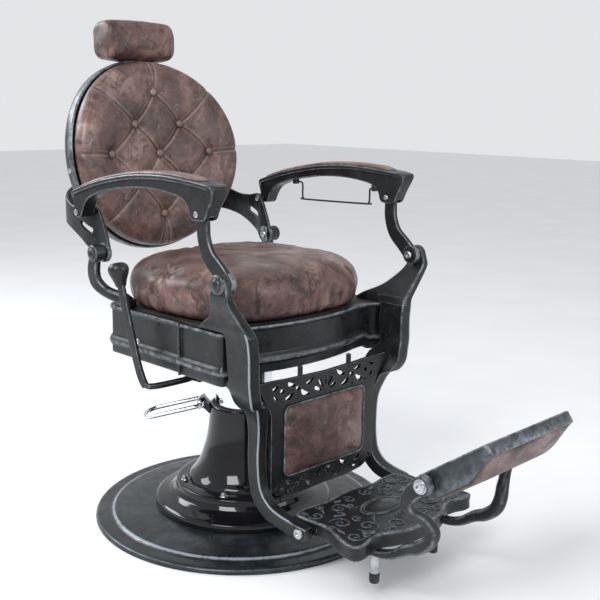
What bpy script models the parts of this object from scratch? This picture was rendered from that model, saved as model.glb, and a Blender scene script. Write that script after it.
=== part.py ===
"""Hydraulic barber chair with a round tufted back, flip-up footrest and reclining arm linkage.

Metres, +Z up. The front of the chair faces -Y, and -X is the occupant's right side, where the
recline lever is. The origin is the centre of the round base, on the floor.
"""

import math

import bmesh
import bpy
from mathutils import Matrix, Vector

# ---- driving dimensions -------------------------------------------------------------------
GAP = 0.0003                    # clearance left where two solids rest on each other
SIDES = 28                      # facets round a large turned part

BASE_R = 0.345                  # floor plate
SKIRT_R = 0.205                 # lower step of the glossy pump skirt
SKIRT_TOP_Z = 0.083
COVER_TOP_Z = 0.262             # top of the tapered column cover
PISTON_R = 0.066
PISTON_TOP_Z = 0.384

APRON_HALF_W = 0.252            # seat frame, outside
APRON_BOTTOM_Z = 0.394
APRON_TOP_Z = 0.503
APRON_REAR_Y = 0.190
APRON_FRONT_ARCH = 0.008        # how much higher the front's lower edge is than the sides'

FRONT_KNUCKLE = (-0.261, 0.614)     # (y, z) of the lower pivot of the front arm post
REAR_KNUCKLE = (0.190, 0.617)       # (y, z) of the back recline pivot
ARM_FRONT_PIVOT = (-0.193, 0.739)   # (y, z) of the armrest on its front post
ARM_REAR_PIVOT = (0.220, 0.707)     # (y, z) of the armrest on the back bracket

ARM_INNER_X, ARM_OUTER_X = 0.263, 0.297     # armrest drops and web
POST_X = (0.274, 0.286)                     # front arm post, upper end
BRACKET_X = (0.241, 0.2490)                 # back bracket plate at the recline pivot
BRACKET_FLARE = 0.0115                      # how far outboard of that it carries the armrest pin

BACK_CENTRE = Vector((0.0, 0.354, 0.818))
BACK_HALF_W, BACK_HALF_H = 0.242, 0.230
BACK_TILT = math.radians(7.7)
BACK_WRAP = 0.038               # how far the sides of the back come forward

PLATE_TOP_Z = 0.139             # footplate tread
PADDLE_PIVOT = (-0.652, 0.297)  # (y, z) of the flip-up paddle
PADDLE_TILT = math.radians(35)
PADDLE_HALF_W = 0.152

TOWEL_HINGE = (0.274, 0.7565)   # (x, z) of the wire's swing axis, which runs along Y
TOWEL_WIRE_R = 0.0022

SIDE_NAMES = {-1: "right", 1: "left"}       # the occupant's right is -X

# ---- materials ----------------------------------------------------------------------------
LOOKS = {
    "iron_black": ((0.035, 0.035, 0.038), 0.42, 0.75),
    "gloss_black": ((0.012, 0.012, 0.014), 0.12, 0.30),
    "chrome": ((0.80, 0.81, 0.83), 0.10, 1.0),
    "steel": ((0.55, 0.55, 0.56), 0.30, 1.0),
    "leather_brown": ((0.135, 0.080, 0.066), 0.50, 0.0),
    "rubber": ((0.02, 0.02, 0.02), 0.85, 0.0),
    "plywood": ((0.50, 0.36, 0.22), 0.75, 0.0),
}


def clear_scene():
    for obj in list(bpy.data.objects):
        bpy.data.objects.remove(obj, do_unlink=True)


def make_materials():
    made = {}
    for name, (colour, roughness, metallic) in LOOKS.items():
        mat = bpy.data.materials.new(name)
        mat.use_nodes = True
        shader = mat.node_tree.nodes["Principled BSDF"]
        shader.inputs["Base Color"].default_value = (*colour, 1.0)
        shader.inputs["Roughness"].default_value = roughness
        shader.inputs["Metallic"].default_value = metallic
        made[name] = mat
    return made


def new_collection(name):
    collection = bpy.data.collections.new(name)
    bpy.context.scene.collection.children.link(collection)
    return collection


clear_scene()
MATERIALS = make_materials()
CHAIR = new_collection("hydraulic_barber_chair")
CUTTERS = new_collection("cutters")


# ---- building blocks ----------------------------------------------------------------------
def finish(obj, material, smooth_angle=40):
    """Files an object under the chair, gives it its material and smooth shading."""
    for collection in list(obj.users_collection):
        collection.objects.unlink(obj)
    CHAIR.objects.link(obj)
    obj.data.materials.append(MATERIALS[material])
    obj.data.shade_smooth()
    obj.data.set_sharp_from_angle(angle=math.radians(smooth_angle))
    return obj


def as_cutter(obj):
    for collection in list(obj.users_collection):
        collection.objects.unlink(obj)
    CUTTERS.objects.link(obj)
    obj.hide_render = True
    obj.display_type = "WIRE"
    return obj


def boolean(obj, other, operation="DIFFERENCE"):
    modifier = obj.modifiers.new(operation.lower(), "BOOLEAN")
    modifier.operation = operation
    modifier.object = as_cutter(other)
    return obj


def object_of(name, bm):
    bmesh.ops.recalc_face_normals(bm, faces=bm.faces)
    mesh = bpy.data.meshes.new(name)
    bm.to_mesh(mesh)
    bm.free()
    obj = bpy.data.objects.new(name, mesh)
    bpy.context.scene.collection.objects.link(obj)
    return obj


def bevelled(obj, width, segments=1):
    modifier = obj.modifiers.new("edges", "BEVEL")
    modifier.width = width
    modifier.segments = segments
    modifier.limit_method = "ANGLE"
    modifier.angle_limit = math.radians(50)
    return obj


def turned(name, profile, steps=SIDES, location=(0, 0, 0), axis="Z", closed=False):
    """A profile of (radius, height) points, outer side first from the top, turned about an axis."""
    bm = bmesh.new()
    points = [bm.verts.new((r, 0, h)) for r, h in profile]
    for a, b in zip(points, points[1:]):
        bm.edges.new((a, b))
    if closed:
        bm.edges.new((points[-1], points[0]))
    mesh = bpy.data.meshes.new(name)
    bm.to_mesh(mesh)
    bm.free()
    obj = bpy.data.objects.new(name, mesh)
    bpy.context.scene.collection.objects.link(obj)
    screw = obj.modifiers.new("turn", "SCREW")
    screw.steps = screw.render_steps = steps
    screw.use_merge_vertices = True
    screw.merge_threshold = 0.00001
    obj.location = location
    if axis == "X":
        obj.rotation_euler = (0, math.pi / 2, 0)
    if axis == "-X":
        obj.rotation_euler = (0, -math.pi / 2, 0)
    return obj


def loft(name, rings, cyclic=False):
    """Skins a list of closed rings of points, all with the same count."""
    bm = bmesh.new()
    rows = [[bm.verts.new(p) for p in ring] for ring in rings]
    count = len(rows[0])
    pairs = list(zip(rows, rows[1:]))
    if cyclic:
        pairs.append((rows[-1], rows[0]))
    for low, high in pairs:
        for i in range(count):
            j = (i + 1) % count
            bm.faces.new((low[i], low[j], high[j], high[i]))
    if not cyclic:
        bm.faces.new(rows[0][::-1])
        bm.faces.new(rows[-1])
    return object_of(name, bm)


def bar(name, stations, side=1, chamfer=0.22, level_above=math.inf):
    """A chamfered rectangular bar along a path.

    Each station is (x, y, z, width in X, depth across the path in the YZ plane). side=-1 mirrors it,
    and sections higher than level_above lie level instead of across the path.
    """
    centres = [Vector(s[:3]) for s in stations]
    rings = []
    for i, (x, y, z, width, depth) in enumerate(stations):
        along = centres[min(i + 1, len(centres) - 1)] - centres[max(i - 1, 0)]
        across = Vector((0, -along.z, along.y)).normalized()
        if z > level_above:
            across = Vector((0, 1, 0))
        u, v = width / 2, depth / 2
        cut = chamfer * min(width, depth)
        corners = [(u - cut, -v), (u, -v + cut), (u, v - cut), (u - cut, v),
                   (-u + cut, v), (-u, v - cut), (-u, -v + cut), (-u + cut, -v)]
        ring = [centres[i] + Vector((a, 0, 0)) + across * b for a, b in corners]
        rings.append([Vector((side * p.x, p.y, p.z)) for p in ring])
    return loft(name, rings)


def slab(name, outline, low, high, axis="Z", side=1):
    """A flat outline given thickness from low to high along an axis: (x, y) for Z, (y, z) for X."""
    def place(p, h):
        return Vector((p[0], p[1], h)) if axis == "Z" else Vector((side * h, p[0], p[1]))
    return loft(name, [[place(p, low) for p in outline], [place(p, high) for p in outline]])


def box(name, low, high):
    bpy.ops.mesh.primitive_cube_add(size=1)
    obj = bpy.context.object
    obj.name = name
    low, high = Vector(low), Vector(high)
    obj.data.transform(Matrix.Translation((low + high) / 2) @ Matrix.Diagonal((*(high - low), 1)))
    return obj


def rod_x(name, x0, x1, y, z, radius, sides=16):
    """A cylinder along X between x0 and x1."""
    bpy.ops.mesh.primitive_cylinder_add(vertices=sides, radius=radius, depth=abs(x1 - x0))
    obj = bpy.context.object
    obj.name = name
    place = Matrix.Translation(((x0 + x1) / 2, y, z)) @ Matrix.Rotation(math.pi / 2, 4, "Y")
    obj.data.transform(place)
    return obj


def tube(name, points, radius, resolution=2, closed=False):
    """A round rod along a list of points, made a mesh with its caps welded."""
    curve = bpy.data.curves.new(name, "CURVE")
    curve.dimensions = "3D"
    spline = curve.splines.new("POLY")
    spline.points.add(len(points) - 1)
    for target, p in zip(spline.points, points):
        target.co = (*p, 1)
    spline.use_cyclic_u = closed
    curve.bevel_depth = radius
    curve.bevel_resolution = resolution
    curve.use_fill_caps = not closed
    obj = bpy.data.objects.new(name + "_curve", curve)
    bpy.context.scene.collection.objects.link(obj)
    bpy.context.view_layer.update()
    graph = bpy.context.evaluated_depsgraph_get()
    mesh = bpy.data.meshes.new_from_object(obj.evaluated_get(graph))
    bpy.data.objects.remove(obj)
    bm = bmesh.new()
    bm.from_mesh(mesh)
    bmesh.ops.remove_doubles(bm, verts=bm.verts, dist=0.00001)
    bpy.data.meshes.remove(mesh)
    return object_of(name, bm)


def arc(cx, cy, radius, start, end, count):
    """Points on an arc, angles in degrees."""
    angles = [math.radians(start + (end - start) * i / (count - 1)) for i in range(count)]
    return [(cx + radius * math.cos(a), cy + radius * math.sin(a)) for a in angles]


def rounded(points, radius, count=3):
    """A closed outline with each corner rounded by about the given radius."""
    made = []
    for i, p in enumerate(points):
        here = Vector(p)
        before, after = Vector(points[i - 1]), Vector(points[(i + 1) % len(points)])
        cut = min(radius, (before - here).length * 0.45, (after - here).length * 0.45)
        start = here + (before - here).normalized() * cut
        end = here + (after - here).normalized() * cut
        for k in range(count):
            t = k / (count - 1)
            made.append(tuple(start * (1 - t) ** 2 + here * 2 * t * (1 - t) + end * t ** 2))
    return made


def mirrored_outline(half):
    """Closes an outline given from the front middle round the +X side to the rear middle."""
    return half + [(-x, y) for x, y in reversed(half) if abs(x) > 1e-6]


def inset(outline, distance):
    """Moves each point of a counter-clockwise (x, y) outline inwards."""
    moved = []
    for i, p in enumerate(outline):
        before, after = Vector(outline[i - 1]), Vector(outline[(i + 1) % len(outline)])
        along = (after - before).normalized()
        moved.append((p[0] - along.y * distance, p[1] + along.x * distance))
    return moved


# ---- base, pump and piston ------------------------------------------------------------------
def build_base():
    profile = [(0, 0.028), (0.150, 0.028), (0.200, 0.0265), (0.262, 0.0235), (0.298, 0.0195),
               (0.3052, 0.0172), (0.3114, 0.0130), (0.318, 0.0126), (0.337, 0.0124),
               (0.3425, 0.0105), (BASE_R, 0.0065), (BASE_R, 0.0), (0, 0)]
    finish(turned("base_plate", profile, steps=36), "iron_black")

    step_z = 0.0465
    profile = [(0.112, SKIRT_TOP_Z), (0.1504, SKIRT_TOP_Z), (0.1565, 0.0805), (0.1579, 0.0748),
               (0.161, 0.066), (0.172, 0.0545), (0.186, 0.0495), (0.199, step_z),
               (SKIRT_R, 0.0425), (0.2065, 0.028 + GAP), (0.112, 0.028 + GAP)]
    finish(turned("pump_skirt", profile, steps=28, closed=True), "gloss_black")

    bolt_circle, count = 0.1385, 6
    ring_top, ring_base = SKIRT_TOP_Z + 0.002, SKIRT_TOP_Z + GAP
    ring = turned("skirt_bolt_ring", [(0.1295, ring_top), (0.1475, ring_top), (0.1475, ring_base),
                                      (0.1295, ring_base)], steps=24, closed=True)
    for i in range(count):
        angle = math.radians(30 + 360 / count * i)
        place = (bolt_circle * math.cos(angle), bolt_circle * math.sin(angle), ring_base + 0.001)
        profile = [(0, 0.0085), (0.0050, 0.0085), (0.0080, 0.0055), (0.0080, 0), (0, 0)]
        boolean(ring, turned(f"skirt_bolt_{i + 1}", profile, steps=8, location=place), "UNION")
    finish(ring, "steel")


def build_column():
    wall = 0.004
    outer = [(0.0765, COVER_TOP_Z), (0.0785, 0.258), (0.0795, 0.235), (0.084, 0.191),
             (0.0935, 0.153), (0.103, 0.126), (0.118, 0.104), (0.1265, 0.094),
             (0.128, SKIRT_TOP_Z + GAP)]
    inner = [(0.128 - wall, SKIRT_TOP_Z + GAP), (0.1145, 0.104), (0.099, 0.126), (0.0893, 0.153),
             (0.080, 0.191), (0.0755, 0.235), (0.0725, COVER_TOP_Z)]
    profile = outer + inner
    finish(turned("column_cover", profile, closed=True), "gloss_black")

    bore, outside = PISTON_R + 0.0006, 0.0715
    foot_z = 0.028 + GAP
    profile = [(0, 0.040), (bore - 0.004, 0.040), (bore, 0.044), (bore, 0.250), (outside, 0.250),
               (outside, 0.060), (0.108, 0.052), (0.110, foot_z), (0, foot_z)]
    finish(turned("pump_cylinder", profile), "steel")

    profile = [(bore, 0.2605), (0.0720, 0.2605), (0.0722, 0.2575), (0.0722, 0.250 + GAP),
               (bore, 0.250 + GAP)]
    finish(turned("wiper_seal", profile, closed=True), "rubber")

    profile = [(0, PISTON_TOP_Z), (PISTON_R - 0.002, PISTON_TOP_Z), (PISTON_R, PISTON_TOP_Z - 0.002),
               (PISTON_R, 0.060), (PISTON_R - 0.003, 0.055), (0, 0.055)]
    finish(turned("lift_piston", profile), "chrome")


PUMP_OUT = Vector((-math.sqrt(0.5), math.sqrt(0.5), 0))     # the lever points to the right rear
PUMP_ACROSS = Vector((math.sqrt(0.5), math.sqrt(0.5), 0))
PUMP_PIVOT = PUMP_OUT * 0.098 + Vector((0, 0, 0.262))
PUMP_LEVER_DROP = math.radians(14)
COVER_RADIUS_AT_LEVER = 0.0810


def build_pump_lever():
    half_w, reach, wire_r = 0.034, 0.135, 0.0050
    down = Vector((0, 0, -1))
    outward = (PUMP_OUT * math.cos(PUMP_LEVER_DROP) + down * math.sin(PUMP_LEVER_DROP))

    def at(a, b):
        return PUMP_PIVOT + outward * a + PUMP_ACROSS * b

    bend = half_w * 0.8
    points = [at(0, half_w - 0.008), at(0.006, half_w - 0.002), at(0.018, half_w)]
    points += [at(x, y + half_w - bend) for x, y in arc(reach - bend, 0, bend, 90, 0, 6)]
    points += [at(x, y - half_w + bend) for x, y in arc(reach - bend, 0, bend, 0, -90, 6)]
    points += [at(0.018, -half_w), at(0.006, -half_w + 0.002), at(0, -half_w + 0.008)]
    lever = tube("pump_lever", points, wire_r)
    hub = tube("pump_lever_hub", [at(0, half_w - 0.006), at(0, -half_w + 0.006)], 0.0085, 3)
    boolean(lever, hub, "UNION")
    bore = tube("pump_lever_bore", [at(0, half_w + 0.02), at(0, -half_w - 0.02)], 0.0048, 3)
    boolean(lever, bore)
    finish(lever, "chrome")

    pin = tube("pump_lever_pin", [at(0, half_w + 0.0165), at(0, -half_w - 0.0165)], 0.0042, 3)
    finish(pin, "steel")

    cheek_low, cheek_high = 0.222, PUMP_PIVOT.z + 0.013

    def cheek(name, b0, b1):
        inner_r, outer_r = 0.0738, 0.098 + 0.012
        corners = [(inner_r, cheek_low), (outer_r - 0.012, cheek_low), (outer_r, PUMP_PIVOT.z - 0.008),
                   (outer_r, cheek_high - 0.006), (outer_r - 0.006, cheek_high),
                   (inner_r, cheek_high - 0.004)]
        rings = [[PUMP_OUT * r + PUMP_ACROSS * b + Vector((0, 0, z)) for r, z in corners]
                 for b in (b0, b1)]
        return loft(name, rings)

    bracket = cheek("pump_lever_bracket", half_w + 0.006, half_w + 0.014)
    boolean(bracket, cheek("pump_cheek_far", -half_w - 0.014, -half_w - 0.006), "UNION")
    inner_r, outer_r = COVER_RADIUS_AT_LEVER + 0.0006, 0.0905
    span = math.radians(34)
    ring = []
    for r, sign in ((outer_r, 1), (inner_r, -1)):
        for i in range(9):
            a = sign * span * (i / 4 - 1)
            ring.append(PUMP_OUT * r * math.cos(a) + PUMP_ACROSS * r * math.sin(a))
    saddle = loft("pump_saddle", [[p + Vector((0, 0, z)) for p in ring] for z in (0.2225, 0.246)])
    boolean(bracket, saddle, "UNION")
    pin_hole = tube("pump_pin_hole", [at(0, half_w + 0.02), at(0, -half_w - 0.02)], 0.0046, 3)
    boolean(bracket, pin_hole)
    finish(bracket, "gloss_black")


# ---- seat frame -----------------------------------------------------------------------------
def apron_outline():
    """Plan of the cast seat frame: bowed front, squarer corners where the legs meet it."""
    half = [(0, -0.226), (0.045, -0.2245), (0.090, -0.219), (0.130, -0.211), (0.165, -0.203),
            (0.200, -0.203), (0.226, -0.213), (0.243, -0.214), (APRON_HALF_W, -0.204),
            (APRON_HALF_W, -0.150), (APRON_HALF_W, -0.082), (APRON_HALF_W - 0.004, -0.077),
            (APRON_HALF_W - 0.004, 0.0), (APRON_HALF_W - 0.004, 0.148), (0.2455, 0.167),
            (0.237, 0.180), (0.222, 0.187), (0.150, APRON_REAR_Y), (0.075, APRON_REAR_Y + 0.002),
            (0, APRON_REAR_Y + 0.003)]
    return mirrored_outline(half)


def build_seat_frame():
    outline = apron_outline()
    wall = 0.009
    section = [(0, APRON_BOTTOM_Z + 0.002), (0, 0.414), (-0.005, 0.418), (-0.006, 0.425),
               (-0.004, 0.431), (0.001, 0.434), (0.001, 0.492), (-0.003, 0.496), (-0.003, 0.501),
               (0, APRON_TOP_Z), (wall, APRON_TOP_Z), (wall, APRON_BOTTOM_Z), (0.002, APRON_BOTTOM_Z)]

    def arched(x, y, z):
        at_front = y < -0.18 and abs(x) < 0.19 and z < 0.44
        return x, y, z + (APRON_FRONT_ARCH if at_front else 0)

    rings = [[arched(x, y, z) for x, y in inset(outline, o)] for o, z in section]
    finish(loft("seat_apron", rings, cyclic=True), "iron_black")

    hub_top = 0.416
    profile = [(0, hub_top), (0.070, hub_top), (0.078, hub_top - 0.006), (0.078, 0.396), (0, 0.396)]
    spider = turned("seat_spider", profile, steps=24)
    arm_half, low, high = 0.021, 0.399, 0.413
    reach = APRON_HALF_W - wall - 0.006
    boolean(spider, box("spider_arm_across", (-reach, -arm_half, low), (reach, arm_half, high)), "UNION")
    boolean(spider, box("spider_arm_along", (-arm_half, -0.213, low), (arm_half, 0.178, high)), "UNION")
    finish(spider, "iron_black")

    profile = [(0, 0.396 - GAP), (0.074, 0.396 - GAP), (0.076, 0.394), (0.076, PISTON_TOP_Z + GAP),
               (0, PISTON_TOP_Z + GAP)]
    finish(turned("swivel_bearing", profile, steps=24), "steel")

    board = slab("seat_board", inset(outline, wall + 0.002), 0.4905, APRON_TOP_Z - 0.0005)
    finish(board, "plywood")


def build_seat_cushion():
    """A deep round-cornered cushion, wider at mid height than where it sits."""
    bottom = APRON_TOP_Z + 0.0035
    centre_y, half_w, half_l = -0.003, 0.234, 0.213
    count = 28
    levels = [(0.90, 0.0), (0.975, 0.010), (1.02, 0.032), (1.03, 0.052), (0.985, 0.078),
              (0.88, 0.094), (0.60, 0.1045), (0.22, 0.108)]

    def ring(scale, z):
        points = []
        for i in range(count):
            a = 2 * math.pi * i / count
            c, s = math.cos(a), math.sin(a)
            radius = 1 / (abs(c) ** 3.1 + abs(s) ** 3.1) ** (1 / 3.1)
            points.append((half_w * scale * radius * c, centre_y + half_l * scale * radius * s, z))
        return points

    finish(loft("seat_cushion", [ring(s, bottom + z) for s, z in levels]), "leather_brown", 80)


# ---- legs, rear posts, calf panel -----------------------------------------------------------
def build_front_leg(side):
    name = f"front_leg_{SIDE_NAMES[side]}"
    stations = [
        (0.2965, -0.262, 0.628, 0.0150, 0.036), (0.2965, -0.264, 0.606, 0.0165, 0.046),
        (0.2965, -0.264, 0.591, 0.0190, 0.051), (0.2840, -0.258, 0.571, 0.0250, 0.060),
        (0.2600, -0.243, 0.541, 0.0280, 0.088), (0.2420, -0.218, 0.516, 0.0290, 0.138),
        (0.2370, -0.212, APRON_TOP_Z + GAP, 0.0300, 0.154),
        (0.2345, -0.2530, APRON_TOP_Z + GAP - 0.00001, 0.0310, 0.068), (0.2325, -0.2540, 0.470, 0.0310, 0.068),
        (0.2325, -0.2560, 0.414, 0.0310, 0.066), (0.2290, -0.2560, 0.3935, 0.0315, 0.068),
        (0.2240, -0.2435, 0.384, 0.0320, 0.088),
        (0.2000, -0.236, 0.358, 0.0320, 0.074), (0.1800, -0.238, 0.330, 0.0290, 0.040),
        (0.1735, -0.234, 0.290, 0.0270, 0.032), (0.1735, -0.233, 0.235, 0.0270, 0.031),
        (0.1735, -0.237, 0.185, 0.0270, 0.032), (0.1735, -0.248, 0.155, 0.0270, 0.034),
        (0.1740, -0.272, 0.134, 0.0270, 0.033), (0.1750, -0.305, 0.124, 0.0270, 0.030),
        (0.1760, -0.345, 0.119, 0.0270, 0.029), (0.1765, -0.386, 0.117, 0.0260, 0.028)]
    leg = bar(name, stations, side, level_above=0.2)
    y, z = FRONT_KNUCKLE
    boss = rod_x(name + "_boss", side * 0.2865, side * 0.3075, y, z, 0.0205, 20)
    boolean(leg, boss, "UNION")
    boolean(leg, rod_x(name + "_bore", side * 0.280, side * 0.301, y, z, 0.0075), "DIFFERENCE")
    boolean(leg, rod_x(name + "_pin_bore", side * 0.155, side * 0.2, -0.373, 0.119, 0.0062))
    finish(leg, "iron_black")


def build_rear_post(side):
    name = f"rear_post_{SIDE_NAMES[side]}"
    stations = [
        (0.2650, 0.194, 0.622, 0.0180, 0.030), (0.2650, 0.202, 0.596, 0.0180, 0.032),
        (0.2645, 0.206, 0.572, 0.0180, 0.034), (0.2625, 0.199, 0.550, 0.0190, 0.032),
        (0.2550, 0.178, 0.533, 0.0220, 0.026), (0.2460, 0.150, 0.524, 0.0250, 0.026),
        (0.2400, 0.128, 0.519, 0.0260, 0.028), (0.2390, 0.106, 0.515, 0.0260, 0.022)]
    post = bar(name, stations, side)
    foot = slab(name + "_foot", rounded([(0.095, APRON_TOP_Z + GAP), (0.158, APRON_TOP_Z + GAP),
                                         (0.155, 0.524), (0.100, 0.522)], 0.004),
                0.2275, 0.2500, "X", side)
    boolean(post, foot, "UNION")
    y, z = REAR_KNUCKLE
    boolean(post, rod_x(name + "_boss", side * 0.2545, side * 0.2805, y, z, 0.0195, 20), "UNION")
    boolean(post, rod_x(name + "_bore", side * 0.250, side * 0.273, y, z, 0.0065))
    finish(post, "iron_black")


def build_calf_panel():
    """The leather-faced panel between the legs, with pierced bands above and below it."""
    y_front, y_rear = -0.262, -0.252
    half = [(0, 0.140), (0.070, 0.138), (0.120, 0.143), (0.1595, 0.160), (0.1595, 0.322),
            (0.166, 0.340), (0.182, 0.366), (0.197, 0.392), (0.197, 0.400), (0.150, 0.399), (0.110, 0.396),
            (0, 0.392)]
    outline = mirrored_outline(half)
    rings = [[(x, y, z) for x, z in outline] for y in (y_front, y_rear)]
    panel = loft("calf_panel", rings)
    for sign in (-1, 1):
        stud = box(f"calf_stud_{sign}", (sign * 0.075 - 0.006, -0.2600, 0.385),
                   (sign * 0.075 + 0.006, -0.2540, 0.415))
        boolean(panel, stud, "UNION")
    finish(panel, "iron_black")

    pad = rounded([(-0.121, 0.187), (0.121, 0.187), (0.121, 0.336), (-0.121, 0.336)], 0.016, 4)
    depths = [(1.0, y_front - GAP), (1.0, y_front - 0.006), (0.955, y_front - 0.012),
              (0.75, y_front - 0.0155)]
    mid_z = (0.187 + 0.336) / 2
    rings = [[(x * s, y, mid_z + (z - mid_z) * (1 - (1 - s) * 1.4)) for x, z in pad] for s, y in depths]
    finish(loft("calf_pad", rings), "leather_brown", 80)


# ---- footplate and flip-up paddle -------------------------------------------------------------
def build_footplate():
    half = [(0, -0.541), (0.045, -0.538), (0.078, -0.526), (0.108, -0.512), (0.135, -0.513),
            (0.160, -0.521), (0.181, -0.519), (0.188, -0.505), (0.180, -0.470), (0.163, -0.430),
            (0.1600, -0.400), (0.1600, -0.336), (0.120, -0.328), (0.070, -0.334), (0, -0.326)]
    outline = mirrored_outline(half)
    low = 0.109
    plate = slab("footplate", outline, low, PLATE_TOP_Z)
    boolean(plate, slab("footplate_hollow", inset(outline, 0.007), low - 0.01, PLATE_TOP_Z - 0.009))
    for sign in (-1, 1):
        lug = box(f"plate_lug_{sign}", (sign * 0.1575 - 0.0022, -0.392, 0.109),
                  (sign * 0.1575 + 0.0022, -0.350, 0.134))
        boolean(plate, lug, "UNION")
        boolean(plate, rod_x(f"plate_pin_bore_{sign}", sign * 0.140, sign * 0.168, -0.373, 0.119, 0.0062))
        boss = turned(f"foot_boss_{sign}", [(0, 0.134), (0.015, 0.134), (0.013, 0.1095), (0, 0.1095)],
                      steps=14, location=(sign * 0.095, -0.490, 0))
        boolean(plate, boss, "UNION")
    finish(bevelled(plate, 0.0015), "iron_black")

    for side, word in SIDE_NAMES.items():
        x0, x1 = side * 0.1450, side * 0.1910
        pin = rod_x(f"footplate_bolt_{word}", x0, x1, -0.373, 0.119, 0.0058, 14)
        head = rod_x(f"footplate_bolt_head_{word}", side * 0.1900, side * 0.1965, -0.373, 0.119, 0.0105, 14)
        boolean(pin, head, "UNION")
        finish(pin, "steel")
        place = (side * 0.095, -0.490, 0)
        stub = turned(f"foot_stub_{word}", [(0, 0.1095 - GAP), (0.0125, 0.1095 - GAP), (0.0125, 0.104),
                                            (0.0100, 0.102), (0.0092, 0.047), (0.0060, 0.047),
                                            (0.0060, 0.030), (0, 0.030)], steps=16, location=place)
        finish(stub, "steel")
        tip = turned(f"foot_tip_{word}", [(0, 0.030 - GAP), (0.0063, 0.030 - GAP), (0.0063, 0.047 - GAP),
                                          (0.0098, 0.047 - GAP), (0.0105, 0.045), (0.0100, 0.028),
                                          (0.0090, 0.026), (0, 0.026)], steps=16, location=place)
        finish(tip, "rubber")


def build_paddle_arms():
    py, pz = PADDLE_PIVOT
    for side, word in SIDE_NAMES.items():
        stations = [
            (0.1090, -0.474, 0.1000, 0.024, 0.012), (0.1090, -0.515, 0.1010, 0.024, 0.014),
            (0.1090, -0.548, 0.1110, 0.024, 0.018), (0.1090, -0.580, 0.1320, 0.024, 0.023),
            (0.1090, -0.606, 0.1440, 0.024, 0.026), (0.1090, -0.629, 0.1640, 0.025, 0.027),
            (0.1110, -0.637, 0.1880, 0.026, 0.026), (0.1280, -0.630, 0.2130, 0.027, 0.025),
            (0.1550, -0.619, 0.2350, 0.024, 0.026), (0.1660, -0.618, 0.2560, 0.019, 0.028),
            (0.1670, -0.630, 0.2780, 0.016, 0.032), (0.1670, py, pz, 0.015, 0.034),
            (0.1670, py - 0.008, pz + 0.008, 0.014, 0.028)]
        arm = bar(f"paddle_arm_{word}", stations, side)
        boolean(arm, rod_x(f"paddle_arm_eye_{word}", side * 0.1588, side * 0.1748, py, pz, 0.0185, 18),
                "UNION")
        pad = box(f"paddle_arm_foot_{word}", (side * 0.109 - 0.016, -0.500, 0.0940),
                  (side * 0.109 + 0.016, -0.440, 0.1065))
        boolean(arm, pad, "UNION")
        boolean(arm, rod_x(f"paddle_arm_bore_{word}", side * 0.150, side * 0.190, py, pz, 0.0063))
        clear = turned(f"paddle_arm_stub_relief_{word}", [(0, 0.12), (0.0145, 0.12), (0.0145, 0.07),
                                                          (0, 0.07)],
                       steps=16, location=(side * 0.095, -0.490, 0))
        boolean(arm, clear)
        finish(arm, "iron_black")

        x0, x1 = side * (PADDLE_HALF_W - 0.010), side * 0.1760
        bolt = rod_x(f"paddle_bolt_{word}", x0, x1, py, pz, 0.0058, 14)
        head = rod_x(f"paddle_bolt_head_{word}", side * 0.1752, side * 0.1815, py, pz, 0.0115, 14)
        boolean(bolt, head, "UNION")
        finish(bolt, "steel")


def paddle_point(x, a, b):
    """A point on the paddle: a along it from the pivot, b towards its tread side."""
    py, pz = PADDLE_PIVOT
    c, s = math.cos(PADDLE_TILT), math.sin(PADDLE_TILT)
    return Vector((x, py - a * c + b * s, pz + a * s + b * c))


def build_paddle():
    """A shallow tray whose sides sweep up to a thin front edge, padded on the side that faces down."""
    rear, front, half_w, front_half_w = -0.020, 0.140, PADDLE_HALF_W, 0.137
    top, deep = 0.020, -0.028
    sweep = [(0.070, deep), (0.092, -0.0210), (0.112, -0.0118), (0.128, -0.0062), (front, -0.0030)]
    wall = 0.007

    def outline(inset_by):
        w, narrow, r, f = half_w - inset_by, front_half_w - inset_by, rear + inset_by, front - inset_by
        loop = rounded([(-w, r), (w, r), (narrow, f), (-narrow, f)], 0.006, 4)
        flank = [(w + (narrow - w) * (a - r) / (f - r), a) for a, _ in sweep[:-2]]
        return loop[:8] + flank + loop[8:] + [(-x, a) for x, a in reversed(flank)]

    def level(inset_by, depth_of):
        return [paddle_point(x, a, depth_of(a)) for x, a in outline(inset_by)]

    def lower_edge(a):
        for (a0, b0), (a1, b1) in zip(sweep, sweep[1:]):
            if a <= a1:
                return b0 + (b1 - b0) * max(0.0, a - a0) / (a1 - a0)
        return sweep[-1][1]

    rings = [level(0, lower_edge), level(0, lambda a: top - 0.003), level(0.003, lambda a: top),
             level(wall, lambda a: top), level(wall, lambda a: top - 0.004),
             level(wall + 0.03, lambda a: top - 0.004)]
    tray = loft("paddle_tray", rings)
    hollow = [level(wall, lambda a: lower_edge(a) - 0.02), level(wall, lambda a: top - 0.011)]
    boolean(tray, loft("paddle_tray_hollow", hollow))
    py, pz = PADDLE_PIVOT
    boolean(tray, rod_x("paddle_tray_bore", -0.2, 0.2, py, pz, 0.0062))
    finish(tray, "iron_black")

    gap = wall + 0.0008
    keep = 0.011 + 0.0005
    pad_rings = [level(gap, lambda a: top - keep), level(gap, lambda a: min(lower_edge(a) - 0.002, -0.009)),
                 level(gap + 0.004, lambda a: lower_edge(a) - 0.005),
                 level(gap + 0.018, lambda a: lower_edge(a) - 0.0075)]
    pad = loft("paddle_pad", pad_rings)
    for sign in (-1, 1):
        relief = rod_x(f"paddle_pad_relief_{sign}", sign * 0.130, sign * 0.160, py, pz, 0.009)
        boolean(pad, relief)
    finish(pad, "leather_brown", 80)


# ---- recline lever --------------------------------------------------------------------------
RECLINE_PIVOT = (-0.030, 0.362)


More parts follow.
